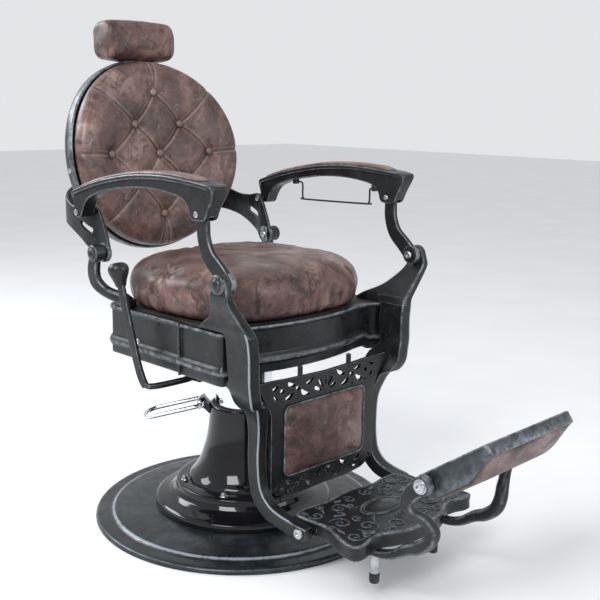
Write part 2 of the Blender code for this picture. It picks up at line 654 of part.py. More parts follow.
def build_recline_lever():
    y0, z0 = RECLINE_PIVOT
    stations = [
        (-0.286, 0.0710, 0.560, 0.0090, 0.016), (-0.286, 0.0590, 0.521, 0.0085, 0.018),
        (-0.286, 0.0400, 0.464, 0.0085, 0.020), (-0.286, 0.0190, 0.405, 0.0085, 0.021),
        (-0.286, 0.0040, 0.372, 0.0085, 0.022), (-0.284, -0.0080, 0.358, 0.0100, 0.020)]
    lever = bar("recline_lever", stations)
    arm = [(-0.2885, -0.0195, 0.020), (-0.268, -0.0270, 0.018), (-0.225, y0, 0.017), (-0.190, y0, 0.017)]
    rings = []
    for x, y, w in arm:
        h = w / 2
        rings.append([(x, y - h, z0 - 0.006), (x, y + h, z0 - 0.006), (x, y + h, z0 + 0.004),
                      (x, y - h, z0 + 0.004)])
    boolean(lever, loft("recline_lever_arm", rings), "UNION")
    boolean(lever, rod_x("recline_lever_shaft", -0.200, -0.0905, y0, z0, 0.0065), "UNION")
    finish(lever, "iron_black")

    top_y, top_z = 0.0775, 0.582
    profile = [(0, 0.030), (0.0135, 0.028), (0.0205, 0.022), (0.0225, 0.014), (0.0200, 0.004),
               (0.0150, -0.010), (0.0105, -0.0215), (0, -0.0215)]
    knob = turned("recline_knob", profile, steps=20, location=(-0.286, top_y, top_z))
    knob.rotation_euler = (math.radians(-14), 0, 0)
    finish(knob, "gloss_black")

    low, high = z0 - 0.011, 0.399 - GAP
    block = box("recline_pivot_block", (-0.170, y0 - 0.013, low), (-0.105, y0 + 0.013, high))
    boolean(block, rod_x("recline_block_bore", -0.30, -0.05, y0, z0, 0.0069))
    finish(bevelled(block, 0.002), "iron_black")


# ---- back -----------------------------------------------------------------------------------
def back_point(u, v, w):
    """A point of the back: u across, v up its slope, w rearwards, with the sides wrapped forward."""
    up = Vector((0, math.sin(BACK_TILT), math.cos(BACK_TILT)))
    rearward = Vector((0, math.cos(BACK_TILT), -math.sin(BACK_TILT)))
    bow = BACK_WRAP * (u / BACK_HALF_W) ** 2
    return BACK_CENTRE + Vector((u, 0, 0)) + up * v + rearward * (w - bow)


def back_ring(scale, w, count=28):
    points = []
    for i in range(count):
        a = 2 * math.pi * i / count
        points.append(back_point(scale * BACK_HALF_W * math.cos(a), scale * BACK_HALF_H * math.sin(a), w))
    return points


def build_back():
    shell = [(0.30, 0.004), (0.70, 0.004), (0.955, 0.004), (0.985, 0.0), (1.0, 0.004), (1.0, 0.026),
             (0.975, 0.034), (0.70, 0.0375), (0.30, 0.0385)]
    finish(loft("back_shell", [back_ring(s, w) for s, w in shell]), "iron_black")
    cushion = [(0.30, 0.0015), (0.70, 0.0015), (0.935, 0.0015), (0.972, -0.008), (0.968, -0.022),
               (0.90, -0.038), (0.70, -0.048), (0.30, -0.052)]
    finish(loft("back_cushion", [back_ring(s, w) for s, w in cushion]), "leather_brown", 80)


def build_back_bracket(side):
    """The cast wing that joins the back to the recline pivot and carries the armrest's rear pin."""
    name = f"back_bracket_{SIDE_NAMES[side]}"
    x0, x1 = BRACKET_X
    flare = -BRACKET_FLARE
    stations = [  # y, lowest z, highest z, how far inboard the plate has curved
        (0.172, 0.606, 0.629, 0), (0.180, 0.599, 0.655, 0), (0.196, 0.598, 0.692, 0),
        (0.212, 0.609, 0.714, flare * 0.15), (0.232, 0.622, 0.7190, flare * 0.9),
        (0.260, 0.640, 0.714, flare), (0.296, 0.657, 0.714, flare * 0.85),
        (0.330, 0.667, 0.725, -0.002), (0.352, 0.672, 0.734, 0.010), (0.366, 0.676, 0.744, 0.026),
        (0.374, 0.679, 0.752, 0.045), (0.379, 0.682, 0.758, 0.066), (0.382, 0.684, 0.763, 0.088)]
    rings = []
    for i, (y, low, high, inboard) in enumerate(stations):
        y_a, in_a = stations[max(i - 1, 0)][0], stations[max(i - 1, 0)][3]
        y_b, in_b = stations[min(i + 1, len(stations) - 1)][0], stations[min(i + 1, len(stations) - 1)][3]
        along = Vector((-(in_b - in_a), y_b - y_a)).normalized()
        thick = x1 - x0
        a = (x0 - inboard, y)
        b = (a[0] + along.y * thick, a[1] - along.x * thick)
        rings.append([(side * a[0], a[1], low), (side * b[0], b[1], low),
                      (side * b[0], b[1], high), (side * a[0], a[1], high)])
    bracket = loft(name, rings)
    y, z = REAR_KNUCKLE
    boolean(bracket, rod_x(name + "_boss", side * x0, side * (x1 + 0.003), y, z, 0.0215, 22), "UNION")
    boolean(bracket, rod_x(name + "_bore", side * 0.22, side * 0.27, y, z, 0.0065))
    slot = slab(name + "_slot", [(0.242 + p * 0.919 - q * 0.394, 0.670 + p * 0.394 + q * 0.919)
                                 for p, q in rounded([(-0.023, -0.0075), (0.023, -0.0075),
                                                      (0.023, 0.0075), (-0.023, 0.0075)], 0.007)],
                0.22, 0.29, "X", side)
    boolean(bracket, slot)
    y, z = ARM_REAR_PIVOT
    boolean(bracket, rod_x(name + "_clearance", side * 0.22, side * 0.27, y, z, 0.0078))
    finish(bracket, "iron_black")


def build_headrest():
    tilt = BACK_TILT
    up = Vector((0, math.sin(tilt), math.cos(tilt)))
    rearward = Vector((0, math.cos(tilt), -math.sin(tilt)))
    centre = BACK_CENTRE + up * 0.2765 + rearward * 0.014
    half_w, half_h, half_d = 0.099, 0.045, 0.041

    def ring(x, grow):
        outline = rounded([(-half_d * grow, -half_h * grow), (half_d * grow, -half_h * grow),
                           (half_d * grow, half_h * grow), (-half_d * grow, half_h * grow)], 0.026, 5)
        return [centre + Vector((x, 0, 0)) + rearward * w + up * v for w, v in outline]

    spans = [(-1.0, 0.60), (-0.98, 0.80), (-0.93, 0.93), (-0.82, 1.0), (0.82, 1.0), (0.93, 0.93),
             (0.98, 0.80), (1.0, 0.60)]
    finish(loft("headrest_cushion", [ring(half_w * x, g) for x, g in spans]), "leather_brown", 80)

    strip_half_w, strip_thick = 0.019, 0.006
    strip_w = 0.014 + half_d + GAP

    def back_box(name, u, v, w):
        corners = [(w[0], v[0]), (w[1], v[0]), (w[1], v[1]), (w[0], v[1])]
        rings = [[BACK_CENTRE + Vector((x, 0, 0)) + rearward * p + up * q for p, q in corners] for x in u]
        return loft(name, rings)

    strip = back_box("headrest_bar", (-strip_half_w, strip_half_w), (0.045, 0.315),
                     (strip_w, strip_w + strip_thick))
    finish(bevelled(strip, 0.0015), "chrome")

    sleeve = back_box("headrest_clamp", (-0.030, 0.030), (0.085, 0.135), (0.0388, strip_w + 0.016))
    gap = 0.0008
    slot = back_box("headrest_clamp_slot", (-strip_half_w - gap, strip_half_w + gap), (0.05, 0.17),
                    (strip_w - gap, strip_w + strip_thick + gap))
    boolean(sleeve, slot)
    finish(sleeve, "iron_black")

    knob_place = BACK_CENTRE + up * 0.110 + rearward * (strip_w + 0.016 + GAP)
    profile = [(0, 0.026), (0.011, 0.026), (0.0150, 0.022), (0.0150, 0.010), (0.0060, 0.007),
               (0.0060, 0), (0, 0)]
    knob = turned("headrest_knob", profile, steps=16, location=knob_place)
    knob.rotation_euler = (math.radians(-90) - tilt, 0, 0)
    finish(knob, "gloss_black")


# ---- arms -----------------------------------------------------------------------------------
def build_arm_post(side):
    name = f"arm_post_{SIDE_NAMES[side]}"
    stations = [
        (0.2800, -0.1900, 0.7485, 0.0115, 0.026), (0.2800, -0.1940, 0.7250, 0.0118, 0.031),
        (0.2800, -0.1960, 0.6930, 0.0120, 0.032), (0.2795, -0.2100, 0.6600, 0.0125, 0.034),
        (0.2785, -0.2400, 0.6330, 0.0130, 0.036), (0.2780, -0.2600, 0.6120, 0.0140, 0.036),
        (0.2780, -0.2635, 0.5980, 0.0130, 0.026)]
    post = bar(name, stations, side)
    y, z = FRONT_KNUCKLE
    boolean(post, rod_x(name + "_boss", side * 0.2705, side * 0.2855, y, z, 0.0200, 20), "UNION")
    boolean(post, rod_x(name + "_bore", side * 0.26, side * 0.30, y, z, 0.0075))
    y, z = ARM_FRONT_PIVOT
    boolean(post, rod_x(name + "_pivot_bore", side * 0.25, side * 0.29, y, z, 0.0048))
    finish(post, "iron_black")


def armrest_outline():
    """Side view (y, z) of the armrest casting: crowned top, drop at each end."""
    top = [(-0.243, 0.784), (-0.239, 0.795), (-0.200, 0.8005), (-0.150, 0.8045), (-0.082, 0.8070),
           (0.0, 0.8030), (0.070, 0.7935), (0.140, 0.7795), (0.200, 0.7625), (0.230, 0.7520)]
    rear = [(0.2330, 0.742), (0.230, 0.715), (0.226, 0.700), (0.214, 0.6955), (0.203, 0.700),
            (0.196, 0.715), (0.178, 0.738), (0.145, 0.752), (0.116, 0.7605)]
    under = [(0.050, 0.771), (0.0, 0.776), (-0.060, 0.777), (-0.115, 0.772), (-0.150, 0.764)]
    front = [(-0.166, 0.750), (-0.172, 0.733), (-0.182, 0.7265), (-0.205, 0.7265), (-0.217, 0.731),
             (-0.224, 0.745), (-0.236, 0.769)]
    return top + rear + under + front


def build_armrest(side):
    name = f"armrest_{SIDE_NAMES[side]}"
    arm = slab(name, armrest_outline(), ARM_INNER_X, ARM_OUTER_X, "X", side)
    cap = [(-0.2445, 0.7850), (-0.2400, 0.7960), (-0.200, 0.8015), (-0.150, 0.8055), (-0.082, 0.8080),
           (0.0, 0.8040), (0.070, 0.7945), (0.140, 0.7805), (0.200, 0.7635), (0.2315, 0.7525),
           (0.2320, 0.7430), (0.200, 0.754), (0.140, 0.771), (0.070, 0.785), (0.0, 0.7945),
           (-0.082, 0.7985), (-0.150, 0.7955), (-0.200, 0.7910), (-0.228, 0.7825)]
    boolean(arm, slab(name + "_cap", cap, ARM_INNER_X - 0.0065, ARM_OUTER_X + 0.0065, "X", side), "UNION")
    slot_half = 0.0008
    slot = box(name + "_slot", (POST_X[0] - slot_half, -0.2200, 0.700),
               (POST_X[1] + slot_half, -0.156, 0.766))
    if side < 0:
        slot.data.transform(Matrix.Scale(-1, 4, (1, 0, 0)))
        slot.data.flip_normals()
    boolean(arm, slot)
    y, z = ARM_FRONT_PIVOT
    boolean(arm, rod_x(name + "_front_bore", side * 0.247, side * 0.293, y, z, 0.0046))
    if side > 0:
        x, hang_z = TOWEL_HINGE
        for y0, y1, top_z in ((0.104, 0.116, 0.771), (-0.155, -0.143, 0.770)):
            lug = box(f"towel_lug_{top_z}", (x - 0.006, y0, hang_z - 0.0065), (x + 0.006, y1, top_z))
            boolean(arm, lug, "UNION")
            bore = tube(f"towel_bore_{top_z}", [(x, y0 - 0.006, hang_z), (x, y1 + 0.012, hang_z)],
                        TOWEL_WIRE_R + 0.0005, 2)
            boolean(arm, bore)
    finish(arm, "iron_black")

    top = [(-0.200, 0.8015), (-0.150, 0.8055), (-0.082, 0.8080), (0.0, 0.8040), (0.070, 0.7945),
           (0.140, 0.7805), (0.200, 0.7635), (0.220, 0.7567)]
    rings = []
    count, mid = len(top), (ARM_INNER_X + ARM_OUTER_X) / 2
    for i, (y, z) in enumerate(top):
        end = min(i, count - 1 - i)
        half = 0.0195 if end else 0.0150
        rise = 0.0075 if end else 0.0025
        section = [(-half, GAP), (-half, rise * 0.45), (-half * 0.7, rise * 0.85), (0, rise),
                   (half * 0.7, rise * 0.85), (half, rise * 0.45), (half, GAP)]
        rings.append([(side * (mid + a), y, z + b) for a, b in section])
    finish(loft(f"armrest_pad_{SIDE_NAMES[side]}", rings), "leather_brown", 80)


def build_pins(side):
    """Knuckle and armrest pins. The front ones carry the arm posts, the rear ones the back."""
    word = SIDE_NAMES[side]
    y, z = FRONT_KNUCKLE
    pin = rod_x(f"front_knuckle_pin_{word}", side * 0.2670, side * 0.3005, y, z, 0.0070)
    boolean(pin, rod_x(f"front_knuckle_head_{word}", side * 0.2620, side * 0.2678, y, z, 0.0125), "UNION")
    finish(pin, "steel")
    y, z = REAR_KNUCKLE
    pin = rod_x(f"rear_knuckle_pin_{word}", side * 0.2400, side * 0.2725, y, z, 0.0060)
    boolean(pin, rod_x(f"rear_knuckle_head_{word}", side * 0.2340, side * 0.2402, y, z, 0.0120), "UNION")
    finish(pin, "steel")
    y, z = ARM_FRONT_PIVOT
    pin = rod_x(f"arm_front_pin_{word}", side * 0.2620, side * 0.2925, y, z, 0.0042, 12)
    boolean(pin, rod_x(f"arm_front_pin_head_{word}", side * 0.2590, side * 0.2625, y, z, 0.0070, 12),
            "UNION")
    finish(pin, "steel")
    y, z = ARM_REAR_PIVOT
    pin = rod_x(f"arm_rear_pin_{word}", side * 0.2432, side * (ARM_INNER_X - GAP), y, z, 0.0042, 12)
    boolean(pin, rod_x(f"arm_rear_pin_head_{word}", side * 0.2400, side * 0.2437, y, z, 0.0070, 12),
            "UNION")
    finish(pin, "steel")


def build_towel_bar():
    """A thin wire rectangle that swings in two lugs under the left armrest."""
    x, hang_z = TOWEL_HINGE
    rear_y, front_y = 0.086, -0.134
    low_rear_z, low_front_z = 0.714, 0.719
    corner = 0.008
    points = [(x, 0.113, hang_z), (x, rear_y + corner, hang_z), (x, rear_y, hang_z - corner),
              (x, rear_y, low_rear_z + corner), (x, rear_y - corner, low_rear_z),
              (x, front_y + corner, low_front_z), (x, front_y, low_front_z + corner),
              (x, front_y, hang_z - 0.004), (x, front_y - 0.004, hang_z), (x, -0.1525, hang_z)]
    finish(tube("towel_bar", points, TOWEL_WIRE_R, 2), "iron_black")


build_base()
build_column()
build_pump_lever()
build_seat_frame()
build_seat_cushion()
build_calf_panel()
build_footplate()
build_paddle_arms()
build_paddle()
build_recline_lever()
build_back()
build_headrest()
build_towel_bar()
for this_side in SIDE_NAMES:
    build_front_leg(this_side)
    build_rear_post(this_side)
    build_back_bracket(this_side)
    build_arm_post(this_side)
    build_armrest(this_side)
    build_pins(this_side)
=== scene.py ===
"""Looks of the hydraulic barber chair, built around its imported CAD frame.

Metres, +Z up; the front of the chair faces -Y and -X is the occupant's right.
"""

import math

import bmesh
import bpy
import numpy as np
from mathutils import Matrix, Vector


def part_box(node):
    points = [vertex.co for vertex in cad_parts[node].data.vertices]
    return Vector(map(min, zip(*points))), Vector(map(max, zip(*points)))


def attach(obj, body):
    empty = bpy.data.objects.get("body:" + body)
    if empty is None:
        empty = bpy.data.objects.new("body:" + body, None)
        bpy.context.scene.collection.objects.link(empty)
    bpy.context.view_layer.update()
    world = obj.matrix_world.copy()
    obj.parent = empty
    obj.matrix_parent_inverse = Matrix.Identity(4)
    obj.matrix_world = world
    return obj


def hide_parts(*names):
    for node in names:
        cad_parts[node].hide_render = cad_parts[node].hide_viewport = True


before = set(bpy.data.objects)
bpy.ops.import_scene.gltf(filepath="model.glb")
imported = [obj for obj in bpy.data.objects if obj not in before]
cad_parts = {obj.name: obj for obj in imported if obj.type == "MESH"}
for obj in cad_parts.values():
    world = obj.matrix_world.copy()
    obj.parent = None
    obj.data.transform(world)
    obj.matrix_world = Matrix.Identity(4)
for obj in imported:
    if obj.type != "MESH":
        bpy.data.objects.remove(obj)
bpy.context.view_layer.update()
SIDES = {-1: "right", 1: "left"}


def mm(*rows):
    """Rows of millimetres as tuples of metres."""
    return [tuple(v / 1000 for v in row) for row in rows]


# ---- places taken from the frame ------------------------------------------------------------


def centre_of(node):
    low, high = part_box(node)
    return (low + high) / 2


BASE_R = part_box("base_plate")[1].x
SKIRT_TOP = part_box("pump_skirt")[1].z
COVER_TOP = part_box("column_cover")[1].z
PISTON_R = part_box("lift_piston")[1].x
PISTON_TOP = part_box("lift_piston")[1].z
APRON_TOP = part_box("seat_apron")[1].z
CUSHION_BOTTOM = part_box("seat_cushion")[0].z
PLATE_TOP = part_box("footplate")[1].z
FRONT_KNUCKLE = centre_of("front_knuckle_pin_left")
REAR_KNUCKLE = centre_of("rear_knuckle_pin_left")
ARM_FRONT_PIN = centre_of("arm_front_pin_left")
ARM_REAR_PIN = centre_of("arm_rear_pin_left")
PADDLE_BOLT = centre_of("paddle_bolt_left")
BACK_CENTRE = Vector((0.0, 0.354, 0.818))
BACK_TILT = math.radians(7.7)
BACK_UP = Vector((0, math.sin(BACK_TILT), math.cos(BACK_TILT)))
BACK_REAR = Vector((0, math.cos(BACK_TILT), -math.sin(BACK_TILT)))
BACK_HALF_W, BACK_HALF_H, BACK_WRAP = 0.242, 0.23, 0.038

# ---- camera, light and floor ----------------------------------------------------------------
CAMERA_PLACE = Vector((-1.448, -1.602, 0.9476))
CAMERA_AZIMUTH = math.radians(-45.51)
CAMERA_PITCH = math.radians(11.55)
CAMERA_ROLL = math.radians(0.9)
CAMERA_LENS = 57.63


def add_camera():
    az, el = CAMERA_AZIMUTH, CAMERA_PITCH
    forward = Vector((-math.sin(az) * math.cos(el), math.cos(az) * math.cos(el), -math.sin(el)))
    level = forward.cross(Vector((0, 0, 1))).normalized()
    upright = level.cross(forward)
    right = level * math.cos(CAMERA_ROLL) + upright * math.sin(CAMERA_ROLL)
    up = upright * math.cos(CAMERA_ROLL) - level * math.sin(CAMERA_ROLL)
    camera = bpy.data.objects.new("camera", bpy.data.cameras.new("camera"))
    camera.data.lens = CAMERA_LENS
    camera.data.sensor_width = 36
    bpy.context.scene.collection.objects.link(camera)
    turn = Matrix((right, up, -forward)).transposed().to_4x4()
    camera.matrix_world = Matrix.Translation(CAMERA_PLACE) @ turn
    bpy.context.scene.camera = camera


def add_light(name, place, aim, size, power, colour=(1, 1, 1)):
    light = bpy.data.lights.new(name, "AREA")
    light.shape = "RECTANGLE"
    light.size, light.size_y = size
    light.energy = power
    light.color = colour
    obj = bpy.data.objects.new(name, light)
    obj.location = place
    obj.rotation_euler = (Vector(aim) - Vector(place)).to_track_quat("-Z", "Y").to_euler()
    bpy.context.scene.collection.objects.link(obj)


def add_studio():
    world = bpy.data.worlds.new("studio")
    bpy.context.scene.world = world
    world.use_nodes = True
    background = world.node_tree.nodes["Background"]
    background.inputs["Color"].default_value = (0.96, 0.975, 1.0, 1)
    background.inputs["Strength"].default_value = 0.8
    bpy.context.scene.view_settings.view_transform = "Standard"
    aim = (0, 0, 0.5)
    add_light("key", (-2.6, -0.9, 2.5), aim, (1.4, 1.4), 85)
    add_light("fill", (1.0, -3.2, 1.6), aim, (2.0, 1.4), 30, (0.95, 0.97, 1.0))
    add_light("rim", (-1.2, 2.6, 2.2), aim, (2.2, 1.0), 70, (0.92, 0.96, 1.0))


# ---- materials --------------------------------------------------------------------------------
class Look:
    """A Principled material whose nodes are added with one call each."""

    def __init__(self, name, **values):
        self.material = bpy.data.materials.new(name)
        self.material.use_nodes = True
        self.tree = self.material.node_tree
        self.shader = self.tree.nodes["Principled BSDF"]
        for key, value in values.items():
            self.shader.inputs[key.replace("_", " ")].default_value = value
        self.place = self.add("ShaderNodeTexCoord").outputs["Object"]

    def feed(self, socket, value):
        if isinstance(value, bpy.types.NodeSocket):
            self.tree.links.new(value, socket)
        elif isinstance(value, tuple) and len(value) == 3 and socket.type == "RGBA":
            socket.default_value = (*value, 1)
        else:
            socket.default_value = value

    def add(self, kind, inputs=None, **settings):
        node = self.tree.nodes.new(kind)
        for key, value in settings.items():
            setattr(node, key, value)
        for key, value in (inputs or {}).items():
            self.feed(node.inputs[key], value)
        return node

    def noise(self, scale, detail=5.0, roughness=0.55, distortion=0.0):
        inputs = {"Vector": self.place, "Scale": scale, "Detail": detail, "Roughness": roughness,
                  "Distortion": distortion}
        return self.add("ShaderNodeTexNoise", inputs).outputs["Fac"]

    def ramp(self, factor, stops):
        node = self.add("ShaderNodeValToRGB", {"Fac": factor})
        elements = node.color_ramp.elements
        while len(elements) < len(stops):
            elements.new(0.5)
        for element, (position, colour) in zip(elements, stops):
            element.position = position
            colour = (colour,) * 3 if isinstance(colour, (int, float)) else colour
            element.color = (*colour, 1)
        return node.outputs["Color"]

    def mix(self, factor, a, b):
        node = self.add("ShaderNodeMix", data_type="RGBA")
        self.feed(node.inputs[0], factor)
        self.feed(node.inputs[6], a)
        self.feed(node.inputs[7], b)
        return node.outputs[2]

    def math(self, operation, a, b=0.0):
        return self.add("ShaderNodeMath", {0: a, 1: b}, operation=operation).outputs[0]

    def attribute(self, name):
        return self.add("ShaderNodeAttribute", attribute_name=name).outputs["Fac"]

    def bump(self, height, strength, distance, normal=None):
        inputs = {"Height": height, "Strength": strength, "Distance": distance}
        if normal is not None:
            inputs["Normal"] = normal
        return self.add("ShaderNodeBump", inputs).outputs["Normal"]

    def set(self, **links):
        for key, value in links.items():
            self.feed(self.shader.inputs[key.replace("_", " ")], value)
        return self.material


def edge_mask(look):
    """Bright along an edge, for worn metal and a painted highlight: how far the bevelled normal leans from
    the true one.
    """
    bevel = look.add("ShaderNodeBevel", {"Radius": 0.0016}, samples=4).outputs[0]
    normal = look.add("ShaderNodeNewGeometry").outputs["Normal"]
    dot = look.add("ShaderNodeVectorMath", {0: bevel, 1: normal}, operation="DOT_PRODUCT").outputs["Value"]
    return look.math("MULTIPLY", look.math("SUBTRACT", 1.0, dot), 4.0)


def cast_iron(name, dark, worn_and_lit, wear_amount, rough=0.36):
    """Satin black enamel over a casting; its edges are painted in bluish bare metal, partly as wear and
    partly as a painted highlight.
    """
    look = Look(name, Metallic=0.12, Specular_IOR_Level=0.42)
    mottle = look.noise(17, 7, 0.65, 0.5)
    tones = [(0.34, [c * 0.55 for c in dark]), (0.5, dark), (0.66, [c * 2.1 for c in dark])]
    base = look.ramp(mottle, tones)
    # Marked corners and bevelled edges take the bare-metal colour: partly wear, partly a painted highlight.
    corner = look.math("POWER", look.attribute("wear"), 3.2)
    worn_and_lit_edges = look.math("ADD", corner, edge_mask(look))
    patchy = look.ramp(look.noise(52, 5, 0.75), [(0.4, 0.12), (0.64, 1.0)])
    wear = look.math("MULTIPLY", worn_and_lit_edges, patchy)
    wear = look.math("MINIMUM", look.math("MULTIPLY", wear, wear_amount), 1.0)
    colour = look.mix(wear, base, worn_and_lit)
    flecks = look.ramp(look.noise(150, 5, 0.65), [(0.62, 0.0), (0.76, 0.3)])
    colour = look.mix(flecks, colour, worn_and_lit)
    roughness = look.ramp(look.noise(40, 5, 0.6), [(0.32, rough - 0.1), (0.68, rough + 0.12)])
    grain = look.bump(look.noise(380, 3), 0.22, 0.0004)
    normal = look.bump(look.noise(30, 4), 0.22, 0.0024, grain)
    return look.set(Base_Color=colour, Roughness=roughness, Normal=normal)


def gloss_black():
    look = Look("gloss_black", Coat_Weight=0.22, Coat_Roughness=0.03, Specular_IOR_Level=0.26)
    colour = look.ramp(look.noise(14, 4), [(0.3, (0.003, 0.003, 0.004)), (0.7, (0.008, 0.008, 0.0105))])
    # Edges are painted lighter grey: worn enamel and a painted highlight.
    colour = look.mix(look.math("MINIMUM", look.math("MULTIPLY", edge_mask(look), 0.5), 1.0), colour,
                      (0.16, 0.18, 0.2))
    smears = look.ramp(look.noise(9, 6, 0.7, 1.2), [(0.35, 0.05), (0.75, 0.18)])
    normal = look.bump(look.noise(26, 2), 0.05, 0.002)
    return look.set(Base_Color=colour, Roughness=smears, Normal=normal)


def chrome():
    look = Look("chrome", Metallic=1.0)
    colour = look.ramp(look.noise(30, 3), [(0.3, (0.62, 0.64, 0.67)), (0.7, (0.8, 0.82, 0.84))])
    smudge = look.ramp(look.noise(18, 6, 0.7, 0.8), [(0.35, 0.05), (0.8, 0.24)])
    return look.set(Base_Color=colour, Roughness=smudge, Normal=look.bump(look.noise(500, 2), 0.04, 0.0002))


def machined_steel():
    look = Look("steel", Metallic=1.0)
    colour = look.ramp(look.noise(60, 5), [(0.3, (0.34, 0.35, 0.37)), (0.7, (0.6, 0.61, 0.63))])
    rough = look.ramp(look.noise(220, 4), [(0.3, 0.22), (0.7, 0.42)])
    return look.set(Base_Color=colour, Roughness=rough, Normal=look.bump(look.noise(700, 2), 0.1, 0.0002))


def leather():
    """Distressed mottled brown leather with a fine grain; painted shade darkens pleats and seams, and painted
    highlights lighten raised places.
    """
    look = Look("leather", Specular_IOR_Level=0.42, Coat_Weight=0.1, Coat_Roughness=0.35)
    clouds = look.noise(8.5, 7, 0.66, 0.7)
    browns = [(0.36, (0.024, 0.0115, 0.0098)), (0.45, (0.066, 0.032, 0.0268)), (0.53, (0.12, 0.064, 0.0545)),
              (0.61, (0.19, 0.12, 0.104)), (0.71, (0.3, 0.22, 0.195))]
    colour = look.ramp(clouds, browns)
    violet = look.ramp(look.noise(15, 5, 0.6, 0.5), [(0.48, 0.0), (0.66, 0.6)])
    colour = look.mix(violet, colour, (0.112, 0.05, 0.05))
    stains = look.ramp(look.noise(34, 8, 0.74, 0.9), [(0.49, 0.0), (0.6, 0.8)])
    colour = look.mix(stains, colour, (0.019, 0.0085, 0.0075))
    scuffs = look.ramp(look.noise(85, 7, 0.78, 0.4), [(0.56, 0.0), (0.68, 0.5)])
    colour = look.mix(scuffs, colour, (0.3, 0.225, 0.195))
    # The wear mark lightens the leather: some rubbing, and painted highlights on the seat's crown and beside
    # the back's pleats.
    rubbed_and_lit = look.math("MULTIPLY", look.attribute("wear"), 0.5)
    colour = look.mix(rubbed_and_lit, colour, (0.34, 0.26, 0.23))
    # Painted shade: the crease mark darkens pleats, tucks and seams.
    colour = look.mix(look.attribute("crease_shade"), colour, (0.016, 0.008, 0.007))
    roughness = look.ramp(clouds, [(0.3, 0.52), (0.7, 0.34)])
    cells = look.add("ShaderNodeTexVoronoi", {"Vector": look.place, "Scale": 360.0}).outputs["Distance"]
    grain = look.bump(cells, 0.2, 0.0005)
    puckers = look.bump(look.noise(70, 4, 0.6), 0.22, 0.0012, grain)
    return look.set(Base_Color=colour, Roughness=roughness,
                    Normal=look.bump(look.noise(16, 3, 0.5, 0.8), 0.2, 0.005, puckers))


def rubber():
    look = Look("rubber")
    colour = look.ramp(look.noise(80, 4), [(0.3, (0.012, 0.012, 0.013)), (0.7, (0.032, 0.032, 0.034))])
    return look.set(Base_Color=colour, Roughness=look.ramp(look.noise(120, 3), [(0.3, 0.62), (0.7, 0.85)]),
                    Normal=look.bump(look.noise(600, 2), 0.2, 0.0003))


def board():
    look = Look("plywood")
    inputs = {"Vector": look.place, "Scale": 14.0, "Distortion": 6.0, "Detail": 4.0}
    grain = look.add("ShaderNodeTexWave", inputs).outputs["Fac"]
    # Near-black plywood: a painted shade for the dark gap between the cushion and the apron.
    colour = look.ramp(grain, [(0.2, (0.02, 0.017, 0.015)), (0.8, (0.034, 0.029, 0.026))])
    return look.set(Base_Color=colour, Roughness=look.ramp(look.noise(60), [(0.3, 0.6), (0.7, 0.8)]))


def floor_paint():
    look = Look("floor")
    colour = look.ramp(look.noise(3, 2), [(0.3, (0.76, 0.76, 0.77)), (0.7, (0.79, 0.79, 0.8))])
    return look.set(Base_Color=colour, Roughness=look.ramp(look.noise(8), [(0.3, 0.55), (0.7, 0.65)]))


LOOKS = {
    "iron": cast_iron("iron", (0.006, 0.0066, 0.0074), (0.23, 0.255, 0.28), 0.85, 0.34),
    # A lighter, bluer copy of the iron: a painted sheen on the base dish, paddle and footplate relief.
    "iron_painted_sheen": cast_iron("iron_painted_sheen", (0.013, 0.0165, 0.0195), (0.22, 0.25, 0.28), 0.95, 0.3),
    "gloss": gloss_black(),
    "satin": cast_iron("satin", (0.012, 0.012, 0.013), (0.09, 0.1, 0.11), 0.5, 0.3),
    "chrome": chrome(),
    "steel": machined_steel(),
    "leather": leather(),
    "rubber": rubber(),
    "board": board(),
}


# ---- mesh building ----------------------------------------------------------------------------
def spline(points, per_span=6, closed=False):
    """A Catmull-Rom curve through rows of numbers."""
    rows = [np.array(p, float) for p in points]
    count = len(rows)
    spans = count if closed else count - 1
    made = []
    for i in range(spans):
        if closed:
            a, b, c, d = (rows[(i + k) % count] for k in (-1, 0, 1, 2))
        else:
            a, b, c, d = rows[max(i - 1, 0)], rows[i], rows[i + 1], rows[min(i + 2, count - 1)]
        for k in range(per_span):
            t = k / per_span
            made.append(0.5 * (2 * b + (c - a) * t + (2 * a - 5 * b + 4 * c - d) * t ** 2
                               + (3 * b - a - 3 * c + d) * t ** 3))
    if not closed:
        made.append(rows[-1])
    return made


def filleted(points, radius, count=4, closed=True):
    """An outline with its corners rounded by about the radius."""
    made = []
    last = len(points) - 1
    for i, p in enumerate(points):
        if not closed and i in (0, last):
            made.append(tuple(p))
            continue
        here, before, after = Vector(p), Vector(points[i - 1]), Vector(points[(i + 1) % len(points)])
        cut = min(radius, (before - here).length * 0.45, (after - here).length * 0.45)
        start = here + (before - here).normalized() * cut
        end = here + (after - here).normalized() * cut
        for k in range(count):
            t = k / (count - 1)
            made.append(tuple(start * (1 - t) ** 2 + here * 2 * t * (1 - t) + end * t ** 2))
    return made


def angles(count):
    """Evenly spaced angles of one full turn."""
    return [2 * math.pi * k / count for k in range(count)]


def mirrored(half):
    """A whole outline from its +X half, which starts on the middle line."""
    return half + [(-x, y) for x, y in reversed(half) if x > 1e-6]


def shrunk(outline, mid, scale, z):
    """A flat outline scaled about a point, at a height."""
    return [(mid.x + (p[0] - mid.x) * scale, mid.y + (p[1] - mid.y) * scale, z) for p in outline]


def inset(outline, distance):
    """Moves each point of a counter-clockwise outline inwards."""
    moved = []
    for i, p in enumerate(outline):
        along = (Vector(outline[(i + 1) % len(outline)]) - Vector(outline[i - 1])).normalized()
        moved.append((p[0] - along.y * distance, p[1] + along.x * distance))
    return moved


